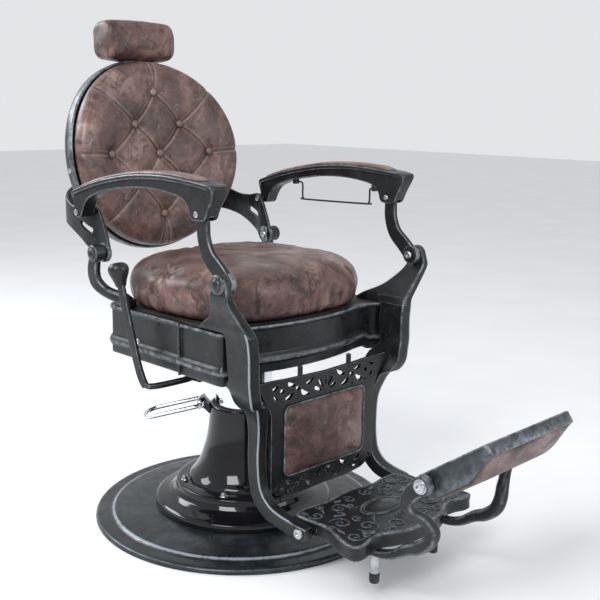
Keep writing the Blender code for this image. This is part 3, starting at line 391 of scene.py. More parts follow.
def box_section(width, depth, radius, per_corner=5):
    """Points (a, b, mark) round a rounded rectangle; the mark, for wear and painted highlight, is high in the
    corners.
    """
    radius = min(radius, width * 0.49, depth * 0.49)
    u, v = width / 2 - radius, depth / 2 - radius
    ring = []
    for sign_a, sign_b, start in ((1, -1, -90), (1, 1, 0), (-1, 1, 90), (-1, -1, 180)):
        for k in range(per_corner):
            t = k / (per_corner - 1)
            angle = math.radians(start + 90 * t)
            ring.append((sign_a * u + radius * math.cos(angle), sign_b * v + radius * math.sin(angle),
                         math.sin(math.pi * t)))
    return ring


def across_path(rows, i, level=None):
    """The direction across a path in the YZ plane. Above the height `level` it turns to plain Y."""
    along = Vector(rows[min(i + 1, len(rows) - 1)][:3]) - Vector(rows[max(i - 1, 0)][:3])
    square = Vector((0, -along.z, along.y)).normalized()
    if level is None:
        return square
    return square.lerp(Vector((0, 1, 0)), float(smoothstep(level - 0.08, level, rows[i][2]))).normalized()


class Shape:
    """Closed shells gathered into one mesh, with a mark of wear and painted highlight on each point."""

    def __init__(self):
        self.points, self.faces, self.wear, self.crease_shade = [], [], [], []

    def loft(self, rings, wear=None, cyclic=False, caps=True):
        base, count = len(self.points), len(rings[0])
        for i, ring in enumerate(rings):
            self.points.extend(tuple(p) for p in ring)
            self.wear.extend(wear[i] if wear is not None else [0.0] * count)
        pairs = [(i, i + 1) for i in range(len(rings) - 1)]
        if cyclic:
            pairs.append((len(rings) - 1, 0))
        for i, j in pairs:
            for k in range(count):
                m = (k + 1) % count
                self.faces.append((base + i * count + k, base + i * count + m, base + j * count + m,
                                   base + j * count + k))
        if caps and not cyclic:
            self.faces.append(tuple(base + k for k in reversed(range(count))))
            top = base + (len(rings) - 1) * count
            self.faces.append(tuple(top + k for k in range(count)))
        return self

    def turned(self, profile, steps=96, at=(0, 0, 0), axis=(0, 0, 1), wear=None):
        """A profile of (radius, height) points turned about an axis, closed on the axis or ring-shaped."""
        axis = Vector(axis).normalized()
        side = axis.orthogonal().normalized()
        other = axis.cross(side)
        ring_shaped = profile[0][0] > 1e-6 and profile[-1][0] > 1e-6
        rings, marks = [], []
        for i, (r, h) in enumerate(profile):
            r = max(r, 0.00002)
            rings.append([Vector(at) + axis * h + (side * math.cos(a) + other * math.sin(a)) * r
                          for a in angles(steps)])
            marks.append([wear[i] if wear else 0.0] * steps)
        return self.loft(rings, marks, cyclic=ring_shaped, caps=not ring_shaped)

    def rod(self, start, end, radius, sides=24):
        """A round rod with its end edges eased."""
        start, end = Vector(start), Vector(end)
        length = (end - start).length
        ease = radius * 0.25
        profile = [(0, 0), (radius - ease, 0), (radius - ease * 0.3, ease * 0.3), (radius, ease),
                   (radius, length - ease), (radius - ease * 0.3, length - ease * 0.3),
                   (radius - ease, length), (0, length)]
        return self.turned(profile, sides, start, end - start, [0, 0.3, 1, 0.3, 0.3, 1, 0.3, 0])

    def bar(self, stations, side=1, radius=0.3, level=None):
        """A rounded bar through stations (x, y, z, width in X, depth across the path)."""
        rows = spline(stations, 6)
        rings, marks = [], []
        last = len(rows) - 1
        for i, (x, y, z, width, depth) in enumerate(rows):
            across = across_path(rows, i, level)
            shrink = 0.88 if i in (0, last) else 1.0
            section = box_section(width * shrink, depth * shrink, radius * min(width, depth))
            centre = Vector((x, y, z))
            ring = [centre + Vector((a, 0, 0)) + across * b for a, b, _ in section]
            rings.append([(side * p.x, p.y, p.z) for p in ring])
            marks.append([w for _, _, w in section])
        return self.loft(rings, marks)

    def slab(self, outline, low, high, radius=0.003, axis="X", side=1):
        """A flat outline given thickness, with its edges rounded."""
        rings, marks = [], []
        steps = 4
        for end, sign in ((low, 1), (high, -1)):
            part = []
            for k in range(steps + 1):
                angle = math.pi / 2 * k / steps
                off, h = radius * (1 - math.sin(angle)), end + sign * radius * (1 - math.cos(angle))
                part.append((off, h, math.sin(2 * angle)))
            for off, h, w in part if sign > 0 else reversed(part):
                flat = inset(outline, off)
                place = {"X": lambda p, h=h: (side * h, p[0], p[1]), "Y": lambda p, h=h: (p[0], h, p[1]),
                         "Z": lambda p, h=h: (p[0], p[1], h)}[axis]
                rings.append([place(p) for p in flat])
                marks.append([w] * len(flat))
        return self.loft(rings, marks)

    def make(self, name, look, body, replaces=(), smooth_angle=50):
        """The finished piece, with the CAD nodes that it stands for."""
        mesh = bpy.data.meshes.new(name)
        mesh.from_pydata(self.points, [], self.faces)
        obj = bpy.data.objects.new(name, mesh)
        bpy.context.scene.collection.objects.link(obj)
        face_outwards(mesh)
        mark = mesh.attributes.new("wear", "FLOAT", "POINT")
        mark.data.foreach_set("value", np.array(self.wear, np.float32))
        return placed(obj, look, body, replaces, smooth_angle)


def face_outwards(mesh, weld=0.0):
    """Turns every face of the closed shells outwards, after welding points that are nearer than weld."""
    bm = bmesh.new()
    bm.from_mesh(mesh)
    if weld:
        bmesh.ops.remove_doubles(bm, verts=bm.verts, dist=weld)
    bmesh.ops.recalc_face_normals(bm, faces=bm.faces)
    bm.to_mesh(mesh)
    bm.free()


def placed(obj, look, body, replaces=(), smooth_angle=50):
    """Gives a piece its look, its body and the CAD nodes it stands for."""
    obj.data.materials.clear()
    obj.data.materials.append(LOOKS[look])
    if obj.type == "MESH":
        obj.data.shade_smooth()
        obj.data.set_sharp_from_angle(angle=math.radians(smooth_angle))
    if look.startswith("iron") and "flat faces" not in obj.modifiers:
        flats = obj.modifiers.new("flat faces", "WEIGHTED_NORMAL")
        flats.keep_sharp = True
    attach(obj, body)
    if replaces:
        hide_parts(*replaces)
    return obj


def carry(look, *nodes):
    """CAD nodes that stay in view get a detailed material."""
    for name in nodes:
        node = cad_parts[name]
        node.data.materials.clear()
        node.data.materials.append(LOOKS[look])
        node.data.shade_smooth()
        node.data.set_sharp_from_angle(angle=math.radians(35))


def numbers(obj):
    co = np.empty(len(obj.data.vertices) * 3)
    obj.data.vertices.foreach_get("co", co)
    return co.reshape(-1, 3)


def normals(obj):
    found = np.empty(len(obj.data.vertices) * 3, np.float32)
    obj.data.vertex_normals.foreach_get("vector", found)
    return found.reshape(-1, 3).astype(float)


def write_points(obj, points):
    obj.data.vertices.foreach_set("co", points.ravel())
    obj.data.update()


def mark(obj, name, values):
    layer = obj.data.attributes.get(name) or obj.data.attributes.new(name, "FLOAT", "POINT")
    layer.data.foreach_set("value", np.clip(values, 0, 1).astype(np.float32))


def apply_modifiers(obj):
    graph = bpy.context.evaluated_depsgraph_get()
    mesh = bpy.data.meshes.new_from_object(obj.evaluated_get(graph))
    obj.modifiers.clear()
    obj.data = mesh


def cut_away(obj, cutter, smooth_angle):
    """Cuts a closed shape out of a piece and removes the cutter."""
    cut = obj.modifiers.new("cut", "BOOLEAN")
    cut.object = cutter
    cut.operation = "DIFFERENCE"
    apply_modifiers(obj)
    bpy.data.objects.remove(cutter)
    obj.data.shade_smooth()
    obj.data.set_sharp_from_angle(angle=math.radians(smooth_angle))


def smoothstep(low, high, x):
    t = np.clip((x - low) / (high - low), 0, 1)
    return t * t * (3 - 2 * t)


CLOTH_FRAMES = 20


def puff(obj, cap, voxel, pressure, hold=None):
    """Inflates a closed shape as cloth, by no more than cap, leaving what hold marks as 0 in place."""
    scene = bpy.context.scene
    remesh = obj.modifiers.new("remesh", "REMESH")
    remesh.mode = "VOXEL"
    remesh.voxel_size = voxel
    apply_modifiers(obj)
    before = numbers(obj)
    cloth = obj.modifiers.new("cloth", "CLOTH")
    cloth.settings.use_pressure = True
    cloth.settings.uniform_pressure_force = pressure
    cloth.settings.effector_weights.gravity = 0
    for step in range(1, CLOTH_FRAMES + 1):
        scene.frame_set(step)
    graph = bpy.context.evaluated_depsgraph_get()
    after = np.array([v.co[:] for v in obj.evaluated_get(graph).data.vertices])
    obj.modifiers.clear()
    scene.frame_set(1)
    move = after - before
    far = np.maximum(np.linalg.norm(move, axis=1, keepdims=True), 1e-9)
    move *= np.minimum(far, cap) / far
    if hold is not None:
        move *= hold(before)[:, None]
    write_points(obj, before + move)
    finer = obj.modifiers.new("finer", "SUBSURF")
    finer.levels = finer.render_levels = 1
    apply_modifiers(obj)
    return obj


def segment_distance(points, a, b):
    """How far 2D points are from a segment, and how far along it they are."""
    a, b = np.array(a), np.array(b)
    along = np.clip(((points - a) @ (b - a)) / ((b - a) @ (b - a)), 0, 1)
    return np.linalg.norm(points - (a + along[:, None] * (b - a)), axis=1), along


# ---- base, pump and column --------------------------------------------------------------------
def softened(profile, radius=0.002):
    return filleted(profile, radius, 4, closed=False)


def make_base():
    make_dish_and_skirt()
    make_skirt_bolts()
    make_column()
    carry("steel", "pump_cylinder", "pump_lever_pin")
    carry("rubber", "wiper_seal")
    make_pump_knuckle()


def make_dish_and_skirt():
    dish = [(0, 0.028), (0.15, 0.028), (0.2, 0.0265), (0.262, 0.0235), (0.298, 0.0195),
            (0.3052, 0.0172), (0.3114, 0.013), (0.318, 0.0126), (0.337, 0.0124), (0.3425, 0.0105),
            (BASE_R, 0.0065), (BASE_R, 0.0), (0, 0)]
    soft = softened(dish, 0.0025)
    # Painted highlight: bright metal lines painted round the dish's rim.
    rim = [2.0 * math.exp(-((r - 0.3045) / 0.0034) ** 2) + 0.8 * math.exp(-((r - 0.3425) / 0.002) ** 2)
           for r, _ in soft]
    Shape().turned(soft, 160, wear=rim).make("base_dish", "iron_painted_sheen", "base", ["base_plate"], 30)

    low = 0.0284
    skirt = [(0.112, SKIRT_TOP), (0.1504, SKIRT_TOP), (0.1565, 0.0805), (0.1579, 0.0748), (0.1592, 0.068),
             (0.165, 0.059), (0.176, 0.052), (0.188, 0.049), (0.199, 0.0465), (0.205, 0.0425),
             (0.2065, 0.036), (0.2068, low), (0.112, low)]
    Shape().turned(softened(skirt, 0.0018), 144).make("pump_skirt_gloss", "gloss", "base", ["pump_skirt"], 30)


def make_skirt_bolts():
    bolts = Shape()
    for i in range(6):
        angle = math.radians(30 + 60 * i)
        at = (0.1385 * math.cos(angle), 0.1385 * math.sin(angle), SKIRT_TOP)
        bolts.turned(mm((0, 1.5), (9.8, 1.5), (10.3, 0.8), (10.3, 0), (0, 0)), 32, at,
                     wear=[0, 0.6, 1, 0, 0])
        bolts.turned(mm((0, 5.8), (3.4, 5.8), (3.6, 8.6), (6.2, 8.6), (7.5, 7), (7.5, 1.2),
                        (0, 1.2)), 6, at, wear=[0, 0, 1, 1, 1, 0, 0])
    bolts.make("skirt_bolts", "steel", "base", ["skirt_bolt_ring"], 25)


def make_column():
    outer = [(0.0765, COVER_TOP), (0.0788, 0.2585), (0.0795, 0.25), (0.0797, 0.235), (0.0815, 0.213),
             (0.0845, 0.19), (0.0885, 0.17), (0.094, 0.152), (0.1, 0.134), (0.1075, 0.117),
             (0.116, 0.104), (0.1225, 0.0965), (0.127, 0.0905), (0.128, SKIRT_TOP + 0.0004)]
    inner = [(0.124, SKIRT_TOP + 0.0004), (0.1145, 0.104), (0.099, 0.126), (0.0893, 0.153), (0.08, 0.191),
             (0.0757, 0.235), (0.0725, COVER_TOP)]
    smooth = [tuple(p) for p in spline(outer, 4)]
    Shape().turned(smooth + inner, 128).make("column_gloss", "gloss", "base", ["column_cover"], 30)
    piston = [(0, PISTON_TOP), (PISTON_R - 0.003, PISTON_TOP), (PISTON_R, PISTON_TOP - 0.003),
              (PISTON_R, 0.06), (PISTON_R - 0.003, 0.055), (0, 0.055)]
    Shape().turned(softened(piston, 0.001), 96).make("piston", "chrome", "lift", ["lift_piston"], 30)


PUMP_OUT = Vector((-math.sqrt(0.5), math.sqrt(0.5), 0))
PUMP_ACROSS = Vector((math.sqrt(0.5), math.sqrt(0.5), 0))


def make_pump_knuckle():
    """The small eye on the column's top edge that the pump loop turns in."""
    pivot = centre_of("pump_lever_pin")
    reach = math.hypot(pivot.x, pivot.y)
    near, half_w = 0.0775, 0.0175
    mid_r, mid_z = reach - 0.004, pivot.z - 0.004
    side_on = [(near, pivot.z - 0.026), (reach - 0.006, pivot.z - 0.0115),
               (reach + 0.0055, pivot.z - 0.0095), (reach + 0.0105, pivot.z),
               (reach + 0.0055, pivot.z + 0.0095), (reach - 0.006, pivot.z + 0.011), (near, pivot.z - 0.0035)]
    rings = []
    for b, shrink in ((-half_w, 0.93), (-half_w + 0.0015, 1.0), (half_w - 0.0015, 1.0), (half_w, 0.93)):
        rings.append([PUMP_OUT * (mid_r + (r - mid_r) * shrink) + PUMP_ACROSS * b
                      + Vector((0, 0, mid_z + (z - mid_z) * shrink)) for r, z in filleted(side_on, 0.004)])
    count = len(rings[0])
    marks = [[0.5] * count, [0.9] * count, [0.9] * count, [0.5] * count]
    Shape().loft(rings, marks).make("pump_knuckle", "gloss", "base", ["pump_lever_bracket"], 40)


def make_pump_lever():
    out, across = PUMP_OUT, PUMP_ACROSS
    pivot = centre_of("pump_lever_pin")
    drop = math.radians(14)
    outward = out * math.cos(drop) - Vector((0, 0, 1)) * math.sin(drop)
    half_w, reach, wire_r = 0.034, 0.135, 0.005
    bend = half_w * 0.8
    flat = [(0, half_w - 0.008), (0.006, half_w - 0.002), (0.018, half_w)]
    for centre_b, first in ((half_w - bend, 90), (bend - half_w, 0)):
        for k in range(9):
            a = math.radians(first - 90 * k / 8)
            flat.append((reach - bend + bend * math.cos(a), centre_b + bend * math.sin(a)))
    flat += [(0.018, -half_w), (0.006, -half_w + 0.002), (0, -half_w + 0.008)]
    path = [pivot + outward * a + across * b for a, b in flat]
    round_tube("pump_loop", path, wire_r, "chrome", "pump_lever", ["pump_lever"])
    hub = Shape().rod(pivot - across * (half_w - 0.006), pivot + across * (half_w - 0.006), 0.0085, 32)
    hub.make("pump_loop_hub", "chrome", "pump_lever")


def round_tube(name, path, radius, look, body, replaces):
    """A rod along a smooth open line, as a mesh with welded caps."""
    data = bpy.data.curves.new(name, "CURVE")
    data.dimensions = "3D"
    line = data.splines.new("POLY")
    rows = spline([tuple(p) for p in path], 4)
    line.points.add(len(rows) - 1)
    for target, p in zip(line.points, rows):
        target.co = (*p, 1)
    data.bevel_depth = radius
    data.bevel_resolution = 6
    data.use_fill_caps = True
    curve = bpy.data.objects.new(name, data)
    bpy.context.scene.collection.objects.link(curve)
    graph = bpy.context.evaluated_depsgraph_get()
    mesh = bpy.data.meshes.new_from_object(curve.evaluated_get(graph))
    bpy.data.objects.remove(curve)
    face_outwards(mesh, 0.00001)
    obj = bpy.data.objects.new(name, mesh)
    bpy.context.scene.collection.objects.link(obj)
    placed(obj, look, body, replaces)


# ---- seat frame -------------------------------------------------------------------------------
def apron_outline():
    half_w, rear = 0.252, 0.19
    half = [(0, -0.226), (0.045, -0.2245), (0.09, -0.219), (0.13, -0.211), (0.165, -0.203),
            (0.2, -0.203), (0.226, -0.213), (0.243, -0.214), (half_w, -0.204), (half_w, -0.15),
            (half_w, -0.082), (half_w - 0.004, -0.077), (half_w - 0.004, 0.0), (half_w - 0.004, 0.148),
            (0.2455, 0.167), (0.237, 0.18), (0.222, 0.187), (0.15, rear), (0.075, rear + 0.002),
            (0, rear + 0.003)]
    return [tuple(p) for p in spline(mirrored(half), 5, closed=True)]


def make_apron():
    outline = apron_outline()
    low, high, wall = 0.394, APRON_TOP, 0.009
    section = [(0.0025, low), (0.0, low + 0.0025), (0.0, low + 0.017), (-0.003, low + 0.0205),
               (-0.0055, low + 0.025), (-0.0058, low + 0.03), (-0.0035, low + 0.0355),
               (0.0002, low + 0.039), (0.0012, low + 0.043), (0.0012, high - 0.013),
               (0.0002, high - 0.0095), (-0.0028, high - 0.007), (-0.0034, high - 0.004),
               (-0.0022, high - 0.0012), (0.0005, high), (wall, high), (wall, low)]
    # The bottom bead and the top lip are marked bright: worn edges and a painted highlight.
    worn_and_lit = [0.5, 0.6, 0.1, 0.3, 1.0, 0.9, 0.2, 0, 0, 0, 0.1, 0.6, 1.0, 1.0, 0.5, 0, 0]

    def arched(x, y, z):
        at_front = smoothstep(-0.17, -0.185, y) * smoothstep(0.205, 0.185, abs(x))
        return x, y, z + 0.008 * float(at_front) * max(0.0, min(1.0, (high - 0.03 - z) / 0.04))

    rings = [[arched(x, y, z) for x, y in inset(outline, off)] for off, z in section]
    shape = Shape().loft(rings, [[w] * len(outline) for w in worn_and_lit], cyclic=True)
    shape.make("apron_casting", "iron", "seat", ["seat_apron"], 40)
    carry("iron", "seat_spider", "recline_pivot_block")
    carry("board", "seat_board")
    carry("steel", "swivel_bearing")
    rivets = Shape()
    for side in SIDES:
        x = side * 0.2478
        rivets.turned([(0, 0.0006), (0.0032, 0.0006), (0.0046, 0.0022), (0.0056, 0.0012), (0.006, -0.001),
                     (0, -0.001)], 28, (x, 0.068, 0.4365), (side, 0, 0), [0, 0, 1, 1, 0.3, 0])
    rivets.make("apron_rivets", "steel", "seat")


LEG_TOP = mm((296.5, -262, 628, 15, 36), (296.5, -264, 606, 16.5, 46), (296.5, -264, 591, 19, 51),
             (285, -258, 571, 25, 60), (262, -243, 541, 28, 88), (244, -221, 518, 29, 132),
             (237, -213, 504.5, 30, 152))
LEG = mm((244, -243, 522, 27, 80), (236.5, -253, 500, 30.5, 68), (232.5, -254, 470, 31, 68),
         (232.5, -256, 430, 31, 66), (231, -256, 410, 31.2, 64), (224, -247, 384, 31.8, 82),
         (202, -238, 360, 31.8, 74), (183, -239, 332, 29.5, 44), (174, -235, 295, 27, 34),
         (173.5, -233, 235, 27, 31), (173.5, -237, 185, 27, 32), (173.5, -248, 155, 27, 34),
         (174, -272, 134, 27, 33), (175, -305, 124, 27, 30), (176, -345, 119, 27, 29),
         (176.5, -386, 117, 26, 28))
LEG_LEVEL = 0.44


def ridge(shape, stations, side, offset, radius=0.0022, level=None):
    """A raised bead that runs down the front corner of a casting."""
    path = spline(stations, 6)
    rows = [Vector((x + w * offset[0], y, z)) - across_path(path, i, level) * d * offset[1]
            for i, (x, y, z, w, d) in enumerate(path)]
    rings = []
    for i, row in enumerate(rows):
        ahead = rows[min(i + 1, len(rows) - 1)] - rows[max(i - 1, 0)]
        one = ahead.orthogonal().normalized()
        two = ahead.normalized().cross(one)
        size = radius * (0.3 if i in (0, len(rows) - 1) else 1)
        ring = [row + (one * math.cos(a) + two * math.sin(a)) * size
                for a in angles(10)]
        rings.append([(side * p.x, p.y, p.z) for p in ring])
    # A mark of 2.0 paints the whole bead in bright metal: a painted highlight along the corner.
    shape.loft(rings, [[2.0] * 10] * len(rings))


def knuckle_boss(shape, side, x0, x1, y, z, radius):
    """A round boss on a knuckle with a domed cap outside."""
    height, dome = x1 - x0, 0.004
    profile = [(0, 0), (radius * 0.92, 0), (radius, 0.0015), (radius, height - 0.005),
               (radius * 0.95, height - 0.0025), (radius * 0.8, height - 0.0008),
               (radius * 0.62, height), (radius * 0.58, height + dome * 0.2),
               (radius * 0.5, height + dome * 0.7), (radius * 0.28, height + dome),
               (0, height + dome * 1.05)]
    worn_and_lit = [0, 0.2, 0.5, 0.4, 0.8, 0.8, 0.4, 0.4, 0.8, 0.4, 0.2]
    shape.turned(profile, 40, (side * x0, y, z), (side, 0, 0), worn_and_lit)


def make_front_leg(side):
    word = SIDES[side]
    shape = Shape()
    shape.bar(LEG_TOP, side, 0.3, level=0)
    shape.bar(LEG, side, 0.18, LEG_LEVEL)
    knuckle_boss(shape, side, 0.2868, 0.3075, FRONT_KNUCKLE.y, FRONT_KNUCKLE.z, 0.0205)
    ridge(shape, LEG[:-1], side, (0.43, 0.475), 0.002, LEG_LEVEL)
    shape.make(f"front_leg_{word}_casting", "iron", "seat", [f"front_leg_{word}"], 60)


def make_rear_post(side):
    word = SIDES[side]
    stations = mm((265, 194, 622, 18, 30), (265, 202, 596, 18, 32), (264.5, 206, 572, 18, 34),
                  (262.5, 199, 550, 19, 32), (255, 178, 533, 22, 26), (246, 150, 524, 25, 26),
                  (240, 128, 519, 26, 28), (239, 106, 514, 26, 20))
    shape = Shape().bar(stations, side, 0.4)
    foot = filleted([(0.095, APRON_TOP + 0.0004), (0.158, APRON_TOP + 0.0004), (0.155, 0.524),
                     (0.1, 0.522)], 0.006)
    shape.slab(foot, 0.2275, 0.25, 0.003, "X", side)
    knuckle_boss(shape, side, 0.2545, 0.2815, REAR_KNUCKLE.y, REAR_KNUCKLE.z, 0.0195)
    shape.make(f"rear_post_{word}_casting", "iron", "seat", [f"rear_post_{word}"], 60)


# ---- pierced calf panel -----------------------------------------------------------------------
def leaf(cx, cz, length, width, angle, bend=0.25):
    """A bent teardrop outline."""
    points = []
    c, s = math.cos(angle), math.sin(angle)
    for t in angles(14):
        a = length / 2 * math.cos(t)
        b = width / 2 * math.sin(t) * (0.72 + 0.28 * math.cos(t))
        b += bend * length * (math.cos(t) ** 2 - 0.5) * 0.5
        points.append((cx + a * c - b * s, cz + a * s + b * c))
    return points


# Half a band's leaves: how far out, how far up the band, length, width, angle.
SCROLL = [(0.046, 0.8, 0.032, 0.012, -0.5), (0.061, 0.28, 0.032, 0.0145, 0.45),
          (0.083, 0.58, 0.015, 0.015, 0), (0.085, 0.1, 0.008, 0.008, 0),
          (0.102, 0.82, 0.026, 0.0125, 0.3), (0.107, 0.31, 0.029, 0.014, -0.45),
          (0.128, 0.62, 0.015, 0.015, 0), (0.129, 0.12, 0.008, 0.008, 0),
          (0.147, 0.85, 0.022, 0.0115, -0.35), (0.147, 0.36, 0.019, 0.012, 0.8)]


def pierced_band(z_from, height):
    """Outlines of one scrolled band: a fan in the middle and bent leaves with round eyes either side."""
    size = abs(height) / 0.046
    turn = 1 if height > 0 else -1
    holes = []
    for fan in (-66, -33, 0, 33, 66):
        a = math.radians(90 + fan)
        reach = 0.0245 * size
        holes.append(leaf(reach * math.cos(a), z_from + turn * (0.003 + reach * math.sin(a)), 0.027 * size,
                          0.012 * size, turn * a, 0.0))
    for x, up, length, width, angle in SCROLL:
        hole = leaf(x, z_from + up * height, length * size, width * size, turn * angle)
        holes.append(hole)
        holes.append([(-a, b) for a, b in reversed(hole)])
    return holes


def make_calf_panel():
    half = mm((0, 140), (70, 138), (120, 143), (159.5, 160), (159.5, 322), (166, 340), (182, 366), (196, 392),
              (196, 399), (150, 398), (110, 395.5), (0, 392))
    panel = Shape().slab(filleted(mirrored(half), 0.004), -0.261, -0.2525, 0.0014, "Y")
    panel = panel.make("calf_filigree", "iron", "seat", ["calf_panel"], 30)
    cutter = Shape()
    for hole in pierced_band(0.3435, 0.046) + pierced_band(0.1825, -0.037):
        cutter.loft([[(x, y, z) for x, z in hole] for y in (-0.27, -0.24)])
    cut_away(panel, cutter.make("filigree_cutter", "iron", "seat"), 30)
    make_calf_trim()
    pillow("calf_panel_pad", mm((-121, 187), (121, 187), (121, 336), (-121, 336)), 0.016,
           lambda x, z, h: (x, -0.2624 - h, z), 0.015, "leather", "seat", ["calf_pad"])


def make_calf_trim():
    """The bead round the calf pad and the two studs that carry the panel."""
    trim = Shape()
    border = filleted(mm((-122.5, 185.5), (122.5, 185.5), (122.5, 337.5), (-122.5, 337.5)), 0.018, 8)
    rings = []
    for a in angles(10):
        rings.append([(x, -0.263 + 0.0026 * math.sin(a), z) for x, z in inset(border, 0.0026 * math.cos(a))])
    trim.loft(rings, [[0.9] * len(border)] * 10, cyclic=True)
    for sign in SIDES:
        trim.rod((sign * 0.075, -0.257, 0.385), (sign * 0.075, -0.257, 0.4155), 0.0055)
    trim.make("calf_panel_trim", "iron", "seat", smooth_angle=60)


def pillow(name, corners, radius, place, height, look, body, replaces):
    """A crowned pad on an outline: steep at its sewn edge, nearly flat in the middle."""
    levels = 26
    outline = []
    rounded = filleted(corners, radius, 14)
    for i, p in enumerate(rounded):
        q = rounded[(i + 1) % len(rounded)]
        steps = max(1, int((Vector(q) - Vector(p)).length / 0.006))
        outline += [tuple(Vector(p).lerp(Vector(q), k / steps)) for k in range(steps)]
    mid = Vector((sum(p[0] for p in outline), sum(p[1] for p in outline))) / len(outline)
    rings = [[place(x, z, 0.0) for x, z in outline]]
    for k in range(levels):
        t = k / (levels - 1)
        scale = 1 - 0.97 * t
        rise = height * (1 - (1 - min(1.0, t * 2.2)) ** 2.4) * 0.86 + height * 0.14 * t
        rings.append([place(*(mid + (Vector(p) - mid) * scale), rise) for p in outline])
    obj = Shape().loft(rings).make(name, look, body, replaces, 80)
    points = numbers(obj)
    one, two = points @ np.array((61.0, 23.0, 47.0)), points @ np.array((-31.0, 52.0, 37.0))
    wave = 0.0009 * np.sin(one) * np.sin(two)
    write_points(obj, points + normals(obj) * wave[:, None])


# ---- footplate --------------------------------------------------------------------------------
def spiral(cx, cy, size, turns, start, hand):
    """A scroll that unwinds from its eye."""
    count = int(16 * turns)
    path = []
    for k in range(count + 1):
        t = k / count
        a = start + hand * 2 * math.pi * turns * t
        r = size * (0.12 + 0.88 * t ** 1.15)
        path.append((cx + r * math.cos(a), cy + r * math.sin(a)))
    return path


PLATE_MID = Vector((0, -0.425))


def make_footplate():
    make_plate_casting()
    top = PLATE_TOP - 0.001
    make_plate_relief(top)
    dome = ((1, -0.0005), (1, 0.001), (0.93, 0.002), (0.75, 0.003), (0.4, 0.0036), (0.05, 0.0038))
    rings = [oval(0.0455 * scale, 0.024 * scale, top + rise) for scale, rise in dome]
    medallion = Shape().loft(rings, [[0.0] * 48] * 6)
    medallion.make("footplate_medallion", "iron", "seat", smooth_angle=70)


def oval(half_x, half_y, z):
    return [(half_x * math.cos(a), PLATE_MID.y + half_y * math.sin(a), z) for a in angles(48)]


def make_plate_casting():
    half = mm((0, -541), (45, -538), (78, -526), (108, -512), (135, -513), (160, -521), (181, -519),
              (188, -505), (180, -470), (163, -430), (160, -400), (160, -336), (120, -328), (70, -334),
              (0, -326))
    outline = [tuple(p) for p in spline(mirrored(half), 5, closed=True)]
    low, high, wall = 0.109, PLATE_TOP, 0.007
    section = [(wall, low), (0.001, low), (0.0, low + 0.001), (0.0012, low + 0.014), (-0.0004, high - 0.006),
               (-0.0006, high - 0.003), (0.0008, high - 0.0006), (0.003, high), (0.006, high),
               (0.008, high - 0.0014)]
    rings = [shrunk(inset(outline, wall), PLATE_MID, scale, high - 0.009) for scale in (0.02, 0.6, 1.0)]
    rings += [[(x, y, z) for x, y in inset(outline, off)] for off, z in section]
    rim = rings[-1]
    rings += [shrunk(rim, PLATE_MID, scale, high - 0.0014) for scale in (0.85, 0.5, 0.02)]
    worn_and_lit = [0, 0, 0, 0, 0.6, 0.6, 0, 0.3, 0.8, 1, 1, 0.8, 0.1, 0, 0, 0]
    shape = Shape().loft(rings, [[w] * len(outline) for w in worn_and_lit])
    lug = filleted(mm((-394, 109), (-348, 109), (-352, 136), (-390, 136)), 0.004)
    boss = mm((0, 134), (15, 134), (13, 109.5), (0, 109.5))
    for side in SIDES:
        shape.slab(lug, 0.1553, 0.1597, 0.001, "X", side)
        shape.turned(boss, 32, (side * 0.095, -0.49, 0))
    shape.make("footplate_casting", "iron", "seat", ["footplate"], 50)


# Half the plate's scrolls: centre, size, turns, start angle, hand.
PLATE_SCROLLS = [
    (0.095, -0.47, 0.027, 1.6, 2.6, 1), (0.15, -0.485, 0.02, 1.5, 0.4, -1),
    (0.125, -0.425, 0.023, 1.5, 4.2, -1), (0.075, -0.375, 0.022, 1.5, 1.0, 1),
    (0.135, -0.368, 0.019, 1.4, 5.2, 1), (0.04, -0.5, 0.021, 1.4, 2.0, -1),
    (0.028, -0.358, 0.016, 1.3, 3.4, -1), (0.1, -0.345, 0.01, 1.2, 0.2, 1),
    (0.072, -0.508, 0.013, 1.3, 5.0, 1), (0.128, -0.497, 0.01, 1.2, 1.2, 1),
    (0.158, -0.428, 0.012, 1.3, 2.2, 1), (0.084, -0.432, 0.013, 1.3, 0.6, -1),
    (0.096, -0.398, 0.012, 1.2, 3.0, -1), (0.148, -0.345, 0.009, 1.2, 1.8, -1),
    (0.012, -0.478, 0.012, 1.2, 4.4, 1), (0.05, -0.38, 0.011, 1.2, 5.6, 1)]
# Half the plate's leaves: centre, length, angle.
PLATE_LEAVES = [
    (0.118, -0.492, 0.03, 0.7), (0.06, -0.455, 0.026, 2.4), (0.152, -0.45, 0.026, 1.9),
    (0.1, -0.398, 0.028, 0.4), (0.158, -0.4, 0.022, 1.3), (0.052, -0.398, 0.02, 2.9),
    (0.052, -0.35, 0.02, 0.2), (0.11, -0.362, 0.02, 2.2)]


def make_plate_relief(top):
    relief = Shape()
    for side in SIDES:
        for scroll in PLATE_SCROLLS:
            bead(relief, [(side * x, y, top) for x, y in spiral(*scroll)], 0.0024)
        for cx, cy, size, angle in PLATE_LEAVES:
            outline = [(side * x, y) for x, y in leaf(cx, cy, size, size * 0.42, angle)]
            dome_leaf(relief, outline, top, 0.0028)
    for scale, radius in ((1.0, 0.0026), (0.84, 0.0014)):
        bead(relief, oval(0.056 * scale, 0.031 * scale, top), radius, cyclic=True)
    # Painted highlight on the raised scrolls and leaves, on the lighter iron with its painted sheen.
    relief.make("footplate_relief", "iron_painted_sheen", "seat", smooth_angle=70)


